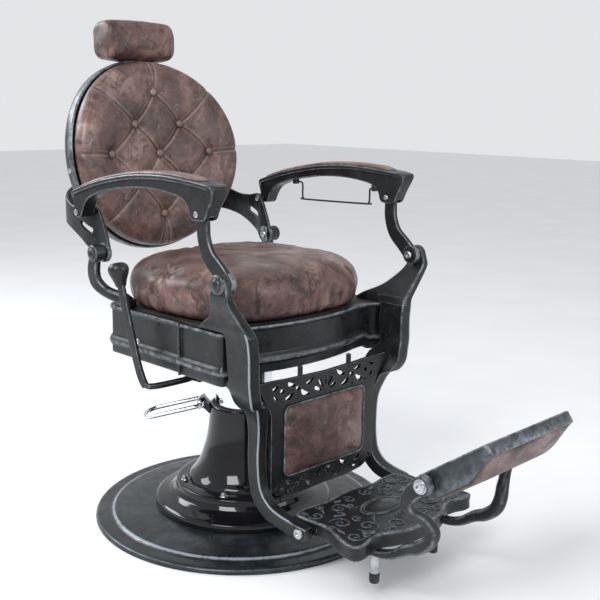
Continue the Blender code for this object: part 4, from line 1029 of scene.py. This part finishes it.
def bead(shape, path, radius, cyclic=False):
    """A half-sunk raised line on a surface."""
    rows = [Vector(p) for p in path]
    count = len(rows)
    rings = []
    for i, p in enumerate(rows):
        ahead = rows[(i + 1) % count] if cyclic or i < count - 1 else p
        behind = rows[i - 1] if cyclic or i > 0 else p
        along = (ahead - behind).normalized()
        across = along.cross(Vector((0, 0, 1))).normalized()
        size = radius if cyclic else radius * (0.35 + 0.65 * math.sin(math.pi * (i + 0.5) / count) ** 0.5)
        rings.append([p + across * size * math.cos(a) + Vector((0, 0, size * 0.85 * math.sin(a)))
                      for a in angles(8)])
    shape.loft(rings, [[0.7] * 8] * count, cyclic=cyclic)


def dome_leaf(shape, outline, low, height):
    mid = Vector((sum(p[0] for p in outline), sum(p[1] for p in outline))) / len(outline)
    dome = ((1.0, -0.0008), (1.0, 0.0), (0.86, height * 0.55), (0.6, height * 0.85), (0.05, height))
    rings = [shrunk(outline, mid, scale, low + rise) for scale, rise in dome]
    shape.loft(rings, [[w] * len(outline) for w in (0, 0.2, 1.0, 0.7, 0.5)])


def make_feet():
    stub = softened(mm((0, 109.2), (12.5, 109.2), (12.5, 104.5), (10.2, 102), (9.4, 47), (6, 47), (6, 31),
                       (0, 31)), 0.0008)
    tip = softened(mm((0, 30), (6.2, 30), (6.2, 46.7), (10, 46.7), (10.6, 44.5), (10.1, 29), (9, 26.2),
                      (0, 26.2)), 0.0008)
    y, z = -0.373, 0.119
    for side, word in SIDES.items():
        at = (side * 0.095, -0.49, 0)
        post = Shape().turned(stub, 40, at)
        post.make(f"foot_post_{word}", "steel", "seat", [f"foot_stub_{word}"], 35)
        shoe = Shape().turned(tip, 40, at)
        shoe.make(f"foot_rubber_{word}", "rubber", "seat", [f"foot_tip_{word}"], 35)
        bolt = Shape().rod((side * 0.145, y, z), (side * 0.1905, y, z), 0.0058)
        screw_head(bolt, (side * 0.19, y, z), (side, 0, 0), 0.0105, 0.0062)
        bolt.make(f"footplate_screw_{word}", "steel", "seat", [f"footplate_bolt_{word}"], 30)


def screw_head(shape, at, axis, radius, height):
    """A round head with a round socket and an eased rim."""
    profile = [(0, height * 0.45), (radius * 0.42, height * 0.45), (radius * 0.42, height),
               (radius * 0.78, height), (radius * 0.94, height * 0.82), (radius, height * 0.55),
               (radius, 0), (0, 0)]
    shape.turned(profile, 36, at, axis, [0, 0, 1, 0.8, 1, 0.5, 0, 0])


# ---- flip-up footrest -------------------------------------------------------------------------
PADDLE_TILT = math.radians(35)


def paddle_point(x, a, b):
    c, s = math.cos(PADDLE_TILT), math.sin(PADDLE_TILT)
    return (x, PADDLE_BOLT.y - a * c + b * s, PADDLE_BOLT.z + a * s + b * c)


def make_paddle_arms():
    py, pz = PADDLE_BOLT.y, PADDLE_BOLT.z
    stations = [(0.109, -0.474, 0.1, 0.024, 0.012), (0.109, -0.515, 0.101, 0.024, 0.014),
                (0.109, -0.548, 0.111, 0.024, 0.018), (0.109, -0.58, 0.132, 0.024, 0.023),
                (0.109, -0.606, 0.144, 0.024, 0.026), (0.109, -0.629, 0.164, 0.025, 0.027),
                (0.111, -0.637, 0.188, 0.026, 0.026), (0.128, -0.63, 0.213, 0.027, 0.025),
                (0.155, -0.619, 0.235, 0.024, 0.026), (0.166, -0.618, 0.256, 0.019, 0.028),
                (0.167, -0.63, 0.278, 0.016, 0.032), (0.167, py, pz, 0.015, 0.034)]
    for side, word in SIDES.items():
        shape = Shape().bar(stations, side, 0.4)
        shape.turned(mm((0, 0), (17.5, 0), (18.5, 1.5), (18.5, 14.5), (17.2, 16), (0, 16)),
                     40, (side * 0.1588, py, pz), (side, 0, 0), [0, 0.3, 1, 1, 0.8, 0])
        shape.slab(filleted(mm((-500, 94.5), (-440, 94.5), (-440, 106.2), (-500, 106.2)), 0.003),
                   0.093, 0.125, 0.0015, "X", side)
        shape.make(f"paddle_arm_{word}_casting", "iron", "seat", [f"paddle_arm_{word}"], 60)
        bolt = Shape().rod((side * 0.142, py, pz), (side * 0.176, py, pz), 0.0058)
        bolt.turned(mm((6.2, 0), (13.2, 0), (13.8, 0.8), (13.2, 1.6), (6.2, 1.6)), 32,
                    (side * 0.175, py, pz), (side, 0, 0), [0, 1, 1, 1, 0])
        screw_head(bolt, (side * 0.1764, py, pz), (side, 0, 0), 0.0112, 0.0055)
        bolt.make(f"paddle_screw_{word}", "steel", "seat", [f"paddle_bolt_{word}"], 30)


PADDLE_SWEEP = mm((70, -28), (92, -21), (112, -11.8), (128, -6.2), (140, -3))


def paddle_edge(a):
    """How deep the paddle's side walls reach at a distance along it."""
    return float(np.interp(a, [p[0] for p in PADDLE_SWEEP], [p[1] for p in PADDLE_SWEEP]))


def make_paddle():
    rear, front, wide, narrow = -0.02, 0.14, 0.152, 0.137
    top, wall = 0.02, 0.007

    def outline(by):
        corners = [(-wide + by, rear + by), (wide - by, rear + by), (narrow - by, front - by),
                   (-narrow + by, front - by)]
        loop = filleted(corners, 0.006, 8)
        flank = []
        for a in (0.03, 0.06, 0.07, 0.081, 0.092, 0.102, 0.112, 0.12):
            along = (a - rear) / (front - rear)
            flank.append((wide - by + (narrow - wide) * along, rear + by + (front - rear - 2 * by) * along))
        return loop[:16] + flank + loop[16:] + [(-x, a) for x, a in reversed(flank)]

    def ring(by, depth_of):
        return [paddle_point(x, a, depth_of(a)) for x, a in outline(by)]

    def level(by, depth):
        return ring(by, lambda a: depth)

    rings = [level(wall, top - 0.011), ring(wall, paddle_edge), ring(0.0012, paddle_edge),
             ring(0, lambda a: paddle_edge(a) + 0.0014), level(0, top - 0.004), level(0.0008, top - 0.0016),
             level(0.0028, top - 0.0002), level(0.0045, top), level(wall, top),
             level(wall + 0.002, top - 0.003), level(wall + 0.03, top - 0.0034)]
    worn_and_lit = [0, 0, 0.8, 0.8, 0.4, 1, 1, 1, 0.8, 0.2, 0]
    # The front corners get a painted highlight of bright metal.
    by_point = [[min(1.0, w + corner_wear(x, a, narrow, front)) for x, a in outline(0)] for w in worn_and_lit]
    Shape().loft(rings, by_point).make("paddle_frame", "iron_painted_sheen", "paddle", ["paddle_tray"], 50)
    gap = wall + 0.001
    pad = [level(gap, top - 0.0118), ring(gap, lambda a: min(paddle_edge(a) - 0.001, -0.004))]
    for k in range(1, 13):
        t = k / 12
        drop = 0.0075 * (1 - (1 - t) ** 2.2)
        pad.append(ring(gap + 0.06 * t ** 2, lambda a, d=drop: paddle_edge(a) - d))
    obj = Shape().loft(pad).make("paddle_cushion", "leather", "paddle", ["paddle_pad"], 80)


def corner_wear(x, a, narrow, front):
    """A painted highlight: bright metal painted on the paddle's front corners."""
    return 1.2 * math.exp(-((abs(x) - narrow) ** 2 + (a - front) ** 2) / 0.0048 ** 2)


# ---- recline lever ----------------------------------------------------------------------------
def make_recline_lever():
    y0, z0 = -0.03, 0.362
    shape = Shape()
    shape.bar(mm((-286, 73.5, 568, 10, 20), (-286, 59, 521, 9, 23), (-286, 40, 464, 8.5, 23),
                 (-286, 19, 405, 8.5, 22), (-286, 4, 374, 8.5, 22), (-285, -8, 358.5, 10, 18)), 1, 0.35)
    arm = [(-0.289, -0.018, 0.019), (-0.268, -0.027, 0.018), (-0.225, y0, 0.017), (-0.19, y0, 0.016)]
    rings, marks = [], []
    for x, y, width in spline(arm, 5):
        section = box_section(width, 0.01, 0.003)
        rings.append([(x, y + a, z0 - 0.001 + b) for a, b, _ in section])
        marks.append([w for _, _, w in section])
    shape.loft(rings, marks)
    shape.rod((-0.2, y0, z0), (-0.0905, y0, z0), 0.0065)
    shape.make("recline_lever_bar", "iron", "recline_lever", ["recline_lever"], 50)
    tilt = math.radians(-14)
    axis = Vector((0, -math.sin(tilt), math.cos(tilt)))
    profile = mm((0, 30.5), (7, 30), (13.5, 28.5), (19, 24.5), (21.8, 19), (22.2, 13), (20.5, 6), (17, -2),
                 (13.5, -11), (11.2, -19), (10.6, -21.5), (0, -21.5))
    smooth = [tuple(p) for p in spline(profile[:-1], 4)] + [profile[-1]]
    Shape().turned(smooth, 56, (-0.286, 0.0775, 0.582), axis).make(
        "recline_lever_knob", "satin", "recline_lever", ["recline_knob"], 40)


# ---- back -------------------------------------------------------------------------------------
def back_point(u, v, w):
    """A point u across and v up the back, w behind its face, which wraps round the sitter."""
    behind = w - BACK_WRAP * (u / BACK_HALF_W) ** 2
    return BACK_CENTRE + Vector((u, 0, 0)) + BACK_UP * v + BACK_REAR * behind


BUTTONS = mm((0, 147), (-67, 70), (67, 70), (-147, 0), (0, 0), (147, 0), (-67, -72), (67, -72), (0, -147))
PLEATS = [(0, 1), (0, 2), (1, 3), (1, 4), (2, 4), (2, 5), (3, 6), (4, 6), (4, 7), (5, 7), (6, 8), (7, 8)]


def back_seams():
    """Pleats from the outer buttons to the rim: (start, end), as points on the back."""
    rim = 0.985
    seams = []
    for side in (-1, 1):
        seams.append(((side * 0.147, 0), (side * BACK_HALF_W * rim, 0.004)))
        for button, angle in (((side * 0.067, 0.07), 44), ((side * 0.067, -0.072), -44)):
            a = math.radians(angle)
            seams.append((button, (side * BACK_HALF_W * rim * math.cos(a), BACK_HALF_H * rim * math.sin(a))))
        seams.append(((0, 0.147), (side * 0.01, BACK_HALF_H * rim)))
        seams.append(((0, -0.147), (side * 0.012, -BACK_HALF_H * rim)))
    return seams


def tufted(flat):
    """How deep the tufting pulls the face in, how dark its painted shade is in the creases, and where a
    painted highlight runs beside them, at points (u, v).
    """
    pull = np.zeros(len(flat))
    crease_shade = np.zeros(len(flat))
    lip_highlight = np.zeros(len(flat))
    for button in BUTTONS:
        far = np.linalg.norm(flat - np.array(button), axis=1)
        pull = np.maximum(pull, 0.0125 * np.exp(-(far / 0.017) ** 1.35))
        crease_shade = np.maximum(crease_shade, 0.55 * np.exp(-(far / 0.012) ** 2))
    lines = [(BUTTONS[i], BUTTONS[j]) for i, j in PLEATS]
    for lines_here, depth, width in ((lines, 0.0085, 0.0075), (back_seams(), 0.006, 0.006)):
        for a, b in lines_here:
            far, along = segment_distance(flat, a, b)
            ends = 1 - 0.35 * np.sin(math.pi * along)
            groove = depth * ends * np.exp(-(far / width) ** 0.95)
            pull = pull + 0.72 * np.maximum(groove - pull * 0.55, 0)
            crease_shade = np.maximum(crease_shade, 0.8 * np.exp(-(far / 0.0013) ** 2) * (0.35 + 0.65 * ends))
            # Painted highlight: a light line beside each pleat.
            lip_highlight = np.maximum(lip_highlight, 0.7 * np.exp(-((far - 0.0046) / 0.0018) ** 2))
    return pull, crease_shade, lip_highlight * (crease_shade < 0.2)


def make_back_cushion():
    steps, rings_out = 440, 140
    rim_profile = [(0.3, 0.0015), (0.7, 0.0015), (0.925, 0.0015), (0.958, -0.001), (0.972, -0.006),
                   (0.976, -0.013), (0.972, -0.02)]
    front = [(0.972, -0.02), (0.96, -0.0275), (0.93, -0.035), (0.88, -0.0405), (0.8, -0.0455),
             (0.65, -0.05), (0.45, -0.0525), (0.0, -0.054)]
    fine = [tuple(p) for p in spline(rim_profile, 4)]
    scale_at = np.array([p[0] for p in front][::-1])
    depth_at = np.array([p[1] for p in front][::-1])
    levels = list(fine)
    for i in range(1, rings_out + 1):
        scale = 0.972 * (1 - i / rings_out) ** 0.92 if i < rings_out else 0.004
        levels.append((scale, float(np.interp(scale, scale_at, depth_at))))
    flat = np.array([(scale * BACK_HALF_W * math.cos(a), scale * BACK_HALF_H * math.sin(a))
                     for scale, _ in levels for a in angles(steps)])
    depth = np.repeat([w for _, w in levels], steps)
    pull, crease_shade, lip_highlight = tufted(flat)
    facing = smoothstep(-0.015, -0.034, depth)
    swell = 0.0042 * facing * np.clip(1 - pull / 0.006, 0, 1)
    depth = depth + (pull * facing - swell)
    points = [back_point(u, v, w) for (u, v), w in zip(flat, depth)]
    shape = Shape().loft([points[i * steps:(i + 1) * steps] for i in range(len(levels))])
    obj = shape.make("back_leather", "leather", "back", ["back_cushion"], 80)
    # Painted shade in the pleats and round the buttons; painted highlight beside the pleats and on the
    # swelling leather.
    mark(obj, "crease_shade", crease_shade * facing)
    mark(obj, "wear", (0.12 * swell / 0.0042 + lip_highlight) * facing)

    studs = Shape()
    for u, v in BUTTONS:
        face = float(np.interp(math.hypot(u / BACK_HALF_W, v / BACK_HALF_H), scale_at, depth_at))
        at = back_point(u, v, face + 0.01)
        studs.turned([(0, -0.004), (0.0085, -0.004), (0.01, 0.0), (0.0094, 0.0034), (0.007, 0.0062),
                      (0.0036, 0.0076), (0, 0.008)], 28, at, -BACK_REAR, [0, 0, 0, 0.4, 0.6, 0.5, 0.5])
    studs.make("back_buttons", "leather", "back", smooth_angle=80)


def make_back_shell():
    profile = [(0.02, 0.0042), (0.5, 0.0042), (0.955, 0.004), (0.981, 0.0005), (0.99, 0.0), (0.998, 0.002),
               (1.003, 0.006), (1.003, 0.014), (1.000, 0.024), (0.994, 0.03), (0.975, 0.0342), (0.93, 0.0358),
               (0.7, 0.0375), (0.3, 0.0385), (0.02, 0.0388)]
    worn_and_lit = [0, 0, 0.2, 0.8, 1, 1, 1, 0.8, 0.5, 0.9, 0.6, 0.1, 0, 0, 0]
    steps = 200
    rings = [[back_point(s * BACK_HALF_W * math.cos(a), s * BACK_HALF_H * math.sin(a), w)
              for a in angles(steps)] for s, w in profile]
    shape = Shape().loft(rings, [[w] * steps for w in worn_and_lit])
    shape.make("back_shell_casting", "iron", "back", ["back_shell"], 40)
    screws = Shape()
    for side in (-1, 1):
        for angle in (188, 216):
            a = math.radians(angle)
            u = -side * BACK_HALF_W * 1.002 * math.cos(a)
            at = back_point(u, BACK_HALF_H * 1.002 * math.sin(a), 0.017)
            out = Vector((at.x, 0, at.z - BACK_CENTRE.z)).normalized()
            screw_head(screws, at, out, 0.0062, 0.0024)
    screws.make("back_shell_screws", "steel", "back", smooth_angle=35)


def make_back_bracket(side):
    word = SIDES[side]
    flare, x0, thick = -0.0115, 0.241, 0.008
    stations = [(0.172, 0.606, 0.629, 0), (0.18, 0.599, 0.655, 0), (0.196, 0.598, 0.692, 0),
                (0.212, 0.609, 0.714, flare * 0.15), (0.232, 0.622, 0.719, flare * 0.9),
                (0.26, 0.64, 0.714, flare), (0.296, 0.657, 0.714, flare * 0.85),
                (0.33, 0.667, 0.725, -0.002), (0.352, 0.672, 0.734, 0.01), (0.366, 0.676, 0.744, 0.026),
                (0.374, 0.679, 0.752, 0.045), (0.379, 0.682, 0.758, 0.066), (0.382, 0.684, 0.763, 0.088)]
    rows = spline(stations, 4)
    rings, marks = [], []
    for i, (y, low, high, inboard) in enumerate(rows):
        before, after = rows[max(i - 1, 0)], rows[min(i + 1, len(rows) - 1)]
        along = Vector((-(after[3] - before[3]), after[0] - before[0])).normalized()
        outward = Vector((along.y, -along.x))
        centre = Vector((x0 - inboard, y)) + outward * (thick / 2)
        ring = []
        section = box_section(thick, high - low, 0.003, 4)
        for a, b, _ in section:
            flat = centre + outward * a
            ring.append((side * flat.x, flat.y, (low + high) / 2 + b))
        rings.append(ring)
        marks.append([w for _, _, w in section])
    shape = Shape().loft(rings, marks)
    shape.turned(mm((0, 0), (20.5, 0), (21.5, 1.2), (21.5, 9.8), (20.5, 11), (0, 11)), 40,
                 (side * x0, REAR_KNUCKLE.y, REAR_KNUCKLE.z), (side, 0, 0), [0, 0.5, 1, 1, 0.5, 0])
    wing = shape.make(f"back_wing_{word}", "iron", "back", [f"back_bracket_{word}"], 50)
    c, s = math.cos(math.radians(23.2)), math.sin(math.radians(23.2))
    slot = [(0.242 + p * c - q * s, 0.67 + p * s + q * c) for p, q in
            filleted(mm((-23, -7.5), (23, -7.5), (23, 7.5), (-23, 7.5)), 0.0074, 6)]
    cutter = Shape().slab(slot, 0.22, 0.29, 0.0002, "X", side)
    cut_away(wing, cutter.make(f"wing_cutter_{word}", "iron", "back"), 45)


def make_headrest():
    low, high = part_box("headrest_cushion")
    half_w = (high.x - low.x) / 2 - 0.001
    centre = BACK_CENTRE + BACK_UP * 0.2765 + BACK_REAR * 0.014
    half_h, half_d = 0.0458, 0.0415
    near_end = [(1.0, 0.3), (0.998, 0.55), (0.985, 0.78), (0.96, 0.905), (0.915, 0.965), (0.85, 0.985),
                (0.7, 1.0)]
    spans = [(-x, grow) for x, grow in near_end] + [(0, 1.01)] + near_end[::-1]
    shape = Shape()
    rings = []
    for x, grow in spline(spans, 5):
        corners = [(-half_d * grow, -half_h * grow), (half_d * grow, -half_h * grow),
                   (half_d * grow, half_h * grow), (-half_d * grow, half_h * grow)]
        rings.append([centre + Vector((half_w * x, 0, 0)) + BACK_REAR * w + BACK_UP * v
                      for w, v in filleted(corners, 0.031, 12)])
    shape.loft(rings)
    obj = shape.make("headrest_leather", "leather", "headrest", ["headrest_cushion"], 80)
    puff(obj, 0.0035, 0.005, 3.0)
    points = numbers(obj)
    across = np.abs(points[:, 0]) / half_w
    seam = np.exp(-((across - 0.8) * half_w / 0.0022) ** 2)
    soft = 0.0009 * np.sin(points @ np.array((0.0, 60.0, 95.0))) * np.sin(points[:, 0] * 62 + 1.0)
    write_points(obj, points + normals(obj) * (soft - 0.0022 * seam)[:, None])
    # Painted shade along the seam's groove.
    mark(obj, "crease_shade", 0.35 * np.exp(-((across - 0.8) * half_w / 0.0012) ** 2))
    placed(obj, "leather", "headrest", smooth_angle=80)
    carry("chrome", "headrest_bar")
    carry("iron", "headrest_clamp")
    carry("gloss", "headrest_knob")


# ---- seat cushion -----------------------------------------------------------------------------
SEAT_Y, SEAT_HALF_W, SEAT_HALF_L = -0.003, 0.2375, 0.216


def make_seat_cushion():
    bottom = CUSHION_BOTTOM
    levels = [(0.55, 0.0), (0.9, 0.0), (0.95, 0.0035), (0.985, 0.011), (1.01, 0.024), (1.022, 0.04),
              (1.02, 0.056), (0.998, 0.072), (0.945, 0.0855), (0.86, 0.0955), (0.72, 0.1015), (0.5, 0.1055),
              (0.25, 0.1072), (0.02, 0.1078)]
    power = 3.1
    rings = []
    for scale, z in spline(levels, 4):
        ring = []
        for a in angles(120):
            c, s = math.cos(a), math.sin(a)
            r = scale / (abs(c) ** power + abs(s) ** power) ** (1 / power)
            ring.append((SEAT_HALF_W * r * c, SEAT_Y + SEAT_HALF_L * r * s, bottom + z))
        rings.append(ring)
    obj = Shape().loft(rings).make("seat_leather", "leather", "seat", ["seat_cushion"], 80)
    puff(obj, 0.006, 0.006, 4.0, lambda p: smoothstep(bottom + 0.002, bottom + 0.03, p[:, 2]))
    sew_seat(obj, bottom)
    placed(obj, "leather", "seat", smooth_angle=80)


def sew_seat(obj, bottom):
    """Tucks on the crown, an upright seam near each corner, and the wrinkles that run from them."""
    points = numbers(obj)
    up = normals(obj)
    flat = points[:, :2]
    height = points[:, 2] - bottom
    push = np.zeros(len(points))
    crease_shade = np.zeros(len(points))
    crown = smoothstep(0.06, 0.095, height)
    for tx, ty in ((-0.214, 0.01), (0.012, -0.194), (0.214, 0.01), (-0.012, 0.188)):
        far = np.linalg.norm(flat - np.array((tx, ty)), axis=1)
        on_crown = smoothstep(0.05, 0.072, height)
        push -= 0.0105 * np.exp(-(far / 0.019) ** 1.1) * on_crown
        crease_shade = np.maximum(crease_shade, 0.75 * np.exp(-(far / 0.0065) ** 2) * on_crown)
        angle = np.arctan2(points[:, 1] - ty, points[:, 0] - tx)
        rays = np.sin(angle * 7 + tx * 40) * 0.5 + np.sin(angle * 11 + 2.0) * 0.3
        push += 0.0034 * rays * np.exp(-(far / 0.06) ** 1.5) * (1 - np.exp(-(far / 0.012) ** 2))
        lined = smoothstep(0.35, 0.75, -rays) * np.exp(-(far / 0.034) ** 2)
        crease_shade = np.maximum(crease_shade, 0.35 * lined * on_crown)
    x, y = points[:, 0], points[:, 1]
    corner = 0.11 * np.abs(np.abs(x) / 0.15 - np.abs(y - SEAT_Y) / 0.205)
    wall = smoothstep(0.8, 0.93, np.hypot(x / SEAT_HALF_W, (y - SEAT_Y) / SEAT_HALF_L))
    wall *= smoothstep(0.006, 0.016, height) * smoothstep(0.09, 0.076, height)
    push -= 0.0034 * np.exp(-(corner / 0.0032) ** 2) * wall
    push += 0.001 * np.exp(-((corner - 0.007) / 0.004) ** 2) * wall
    crease_shade = np.maximum(crease_shade, 0.75 * np.exp(-(corner / 0.0022) ** 2) * wall)
    folds = np.sin(x * 46 + np.sin(y * 31) * 1.7) * np.sin(y * 39 + np.sin(x * 27) * 1.9)
    ripples = np.sin(x * 120 + y * 75 + 2.2 * np.sin(y * 60)) * np.sin(y * 105 - x * 40)
    push += crown * (0.0011 * folds + 0.00045 * ripples)
    hem = smoothstep(0.0, 0.03, height) * smoothstep(0.075, 0.035, height)
    round_about = np.arctan2(y, x)
    gathers = 0.0011 * np.sin(round_about * 23 + np.sin(height * 90)) + 0.0008 * np.sin(round_about * 41)
    push += hem * gathers
    write_points(obj, points + up * push[:, None])
    # Painted shade in the tucks, corner seams and wrinkles; painted highlight over the crown.
    mark(obj, "crease_shade", crease_shade)
    mark(obj, "wear", 0.5 * smoothstep(0.08, 0.104, height) * (0.6 + 0.4 * folds))


# ---- arms -------------------------------------------------------------------------------------
def make_arm_post(side):
    word = SIDES[side]
    stations = mm((280, -190, 748.5, 11.5, 26), (280, -194, 725, 11.8, 31), (280, -196, 693, 12, 32),
                  (279.5, -210, 660, 12.5, 34), (278.5, -240, 633, 13, 36), (278, -260, 612, 14, 36),
                  (278, -263.5, 598, 13, 26))
    shape = Shape().bar(stations, side, 0.36)
    y, z = FRONT_KNUCKLE.y, FRONT_KNUCKLE.z
    shape.turned(mm((0, 0), (19, 0), (20, 1.2), (20, 13.8), (19, 15), (0, 15)), 40,
                 (side * 0.2705, y, z), (side, 0, 0), [0, 0.5, 1, 1, 0.5, 0])
    ridge(shape, stations[1:-1], side, (0.3, 0.4), 0.002)
    shape.make(f"arm_post_{word}_casting", "iron", f"arm_post_{word}", [f"arm_post_{word}"], 60)


ARM_TOP = mm((-228.5, 752), (-236.5, 768), (-242.5, 782), (-242.5, 789), (-238, 795), (-220, 799),
             (-190, 802.2), (-150, 805.5), (-82, 808), (0, 804), (70, 794.5), (140, 780.5), (195, 765),
             (222, 757), (232, 752), (235.2, 744), (234.5, 730), (232, 715))


def armrest_outline():
    top = mm((-243, 784), (-239, 795), (-200, 800.5), (-150, 804.5), (-82, 807), (0, 803), (70, 793.5),
             (140, 779.5), (200, 762.5), (230, 752))
    rear = mm((233, 742), (230, 715), (226, 700), (214, 695.5), (203, 700), (196, 715), (178, 738),
              (145, 752), (116, 760.5))
    under = mm((50, 771), (0, 776), (-60, 777), (-115, 772), (-150, 764))
    front = mm((-166, 750), (-172, 733), (-182, 726.5), (-205, 726.5), (-217, 731), (-224, 745), (-236, 769))
    return [tuple(p) for p in spline(list(reversed(top + rear + under + front)), 3, closed=True)]


ARM_INNER, ARM_OUTER = 0.263, 0.297
ARM_MID = (ARM_INNER + ARM_OUTER) / 2


def make_armrest(side):
    word = SIDES[side]
    body = f"armrest_{word}"
    rows = spline(ARM_TOP, 6)
    make_arm_rim(side, rows).make(f"{body}_rim", "iron", body, smooth_angle=60)
    web = Shape().slab(armrest_outline(), ARM_INNER, ARM_OUTER, 0.0042, "X", side)
    casting = web.make(f"{body}_casting", "iron", body, [f"armrest_{word}"], 55)
    slot = Shape().slab(mm((-220, 700), (-156, 700), (-156, 766), (-220, 766)),
                        0.2732, 0.2868, 0.0001, "X", side)
    cut_away(casting, slot.make(f"arm_cutter_{word}", "iron", body), 45)
    make_arm_pad(side, rows)
    make_arm_screws(side)


def make_arm_rim(side, rows):
    """The thin flange along the armrest's top and rear."""
    rings, marks = [], []
    last = len(rows) - 1
    for i, (y, z) in enumerate(rows):
        after, before = rows[min(i + 1, last)], rows[max(i - 1, 0)]
        along = Vector((after[0] - before[0], after[1] - before[1])).normalized()
        taper = math.sin(math.pi / 2 * min(1.0, (min(i, last - i) + 1) / 30))
        half, thick = 0.012 + 0.012 * taper, 0.005 + 0.0055 * taper
        ring = []
        section = box_section(half * 2, thick, 0.0042, 5)
        for a, b, _ in section:
            deep = b - thick / 2
            ring.append((side * (ARM_MID + a), y - along.y * deep, z + along.x * deep))
        rings.append(ring)
        marks.append([w for _, _, w in section])
    return Shape().loft(rings, marks)


def make_arm_pad(side, rows):
    word = SIDES[side]
    low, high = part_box(f"armrest_pad_{word}")
    pad_rows = [(y, z) for y, z in rows if low.y + 0.002 < y < high.y - 0.002 and z > 0.75]
    crown = [(1, 0.25), (0.94, 0.52), (0.8, 0.76), (0.55, 0.92)]
    rings = []
    for i, (y, z) in enumerate(pad_rows):
        end = min(i, len(pad_rows) - 1 - i)
        ease = min(1.0, (end + 0.3) / 4) ** 0.5
        half, rise = 0.0178 * (0.75 + 0.25 * ease), 0.0068 * ease
        ring = [(-half, 0.0003)] + [(-half * a, rise * b) for a, b in crown] + [(0, rise)]
        ring += [(half * a, rise * b) for a, b in crown[::-1]] + [(half, 0.0003)]
        rings.append([(side * (ARM_MID + a), y, z + b) for a, b in ring])
    marks = [[0, 0, 0.3, 0.5, 0.7, 0.7, 0.7, 0.5, 0.3, 0, 0]] * len(rings)
    pad = Shape().loft(rings, marks)
    pad = pad.make(f"armrest_leather_{word}", "leather", f"armrest_{word}", [f"armrest_pad_{word}"], 80)


def make_arm_screws(side):
    word = SIDES[side]
    inward, outward = (-side, 0, 0), (side, 0, 0)
    pins = Shape()
    y, z = ARM_FRONT_PIN.y, ARM_FRONT_PIN.z
    pins.rod((side * 0.262, y, z), (side * 0.2925, y, z), 0.0042)
    screw_head(pins, (side * 0.2632, y, z), inward, 0.0062, 0.003)
    screw_head(pins, (side * 0.2968, y, z), outward, 0.0062, 0.0026)
    y, z = ARM_REAR_PIN.y, ARM_REAR_PIN.z
    pins.rod((side * 0.2432, y, z), (side * 0.2627, y, z), 0.0042)
    screw_head(pins, (side * 0.2437, y, z), inward, 0.007, 0.0035)
    screw_head(pins, (side * 0.2968, y, z), outward, 0.0066, 0.0028)
    stands_for = [f"arm_front_pin_{word}", f"arm_rear_pin_{word}"]
    pins.make(f"armrest_screws_{word}", "steel", f"armrest_{word}", stands_for, 30)
    knuckles = Shape()
    for centre, x0, x1, head_x, r in ((FRONT_KNUCKLE, 0.267, 0.3005, 0.2678, 0.009),
                                      (REAR_KNUCKLE, 0.24, 0.2725, 0.2402, 0.0088)):
        knuckles.rod((side * x0, centre.y, centre.z), (side * x1, centre.y, centre.z), r * 0.5)
        screw_head(knuckles, (side * head_x, centre.y, centre.z), inward, r, 0.0058)
    stands_for = [f"front_knuckle_pin_{word}", f"rear_knuckle_pin_{word}"]
    knuckles.make(f"knuckle_pins_{word}", "steel", "seat", stands_for, 30)


def make_towel_bar():
    x, hang_z = 0.274, 0.7565
    rear_y, front_y, low_rear, low_front, corner = 0.086, -0.134, 0.714, 0.719, 0.01
    path = [(x, 0.113, hang_z), (x, rear_y + corner, hang_z), (x, rear_y + 0.002, hang_z - 0.003),
            (x, rear_y, hang_z - corner), (x, rear_y, low_rear + corner),
            (x, rear_y - 0.003, low_rear + 0.003), (x, rear_y - corner, low_rear),
            (x, front_y + corner, low_front),
            (x, front_y + 0.003, low_front + 0.003), (x, front_y, low_front + corner),
            (x, front_y, hang_z - 0.006), (x, front_y - 0.003, hang_z - 0.001), (x, -0.1525, hang_z)]
    round_tube("towel_wire", path, 0.0022, "iron", "towel_bar", ["towel_bar"])
    lugs = Shape()
    for y in (0.11, -0.149):
        lugs.slab(filleted([(y - 0.006, hang_z - 0.0065), (y + 0.006, hang_z - 0.0065), (y + 0.006, 0.772),
                            (y - 0.006, 0.772)], 0.003), x - 0.006, x + 0.006, 0.001, "X", 1)
    lugs.make("towel_lugs", "iron", "armrest_left", smooth_angle=50)


def make_floor():
    bpy.ops.mesh.primitive_plane_add(size=30)
    floor = bpy.context.object
    floor.name = "floor"
    floor.data.materials.append(floor_paint())


# ---- everything -------------------------------------------------------------------------------
add_camera()
add_studio()
make_floor()
make_base()
make_pump_lever()
make_apron()
make_seat_cushion()
make_calf_panel()
make_footplate()
make_feet()
make_paddle_arms()
make_paddle()
make_recline_lever()
make_back_shell()
make_back_cushion()
make_headrest()
make_towel_bar()
for this_side in SIDES:
    make_front_leg(this_side)
    make_rear_post(this_side)
    make_back_bracket(this_side)
    make_arm_post(this_side)
    make_armrest(this_side)
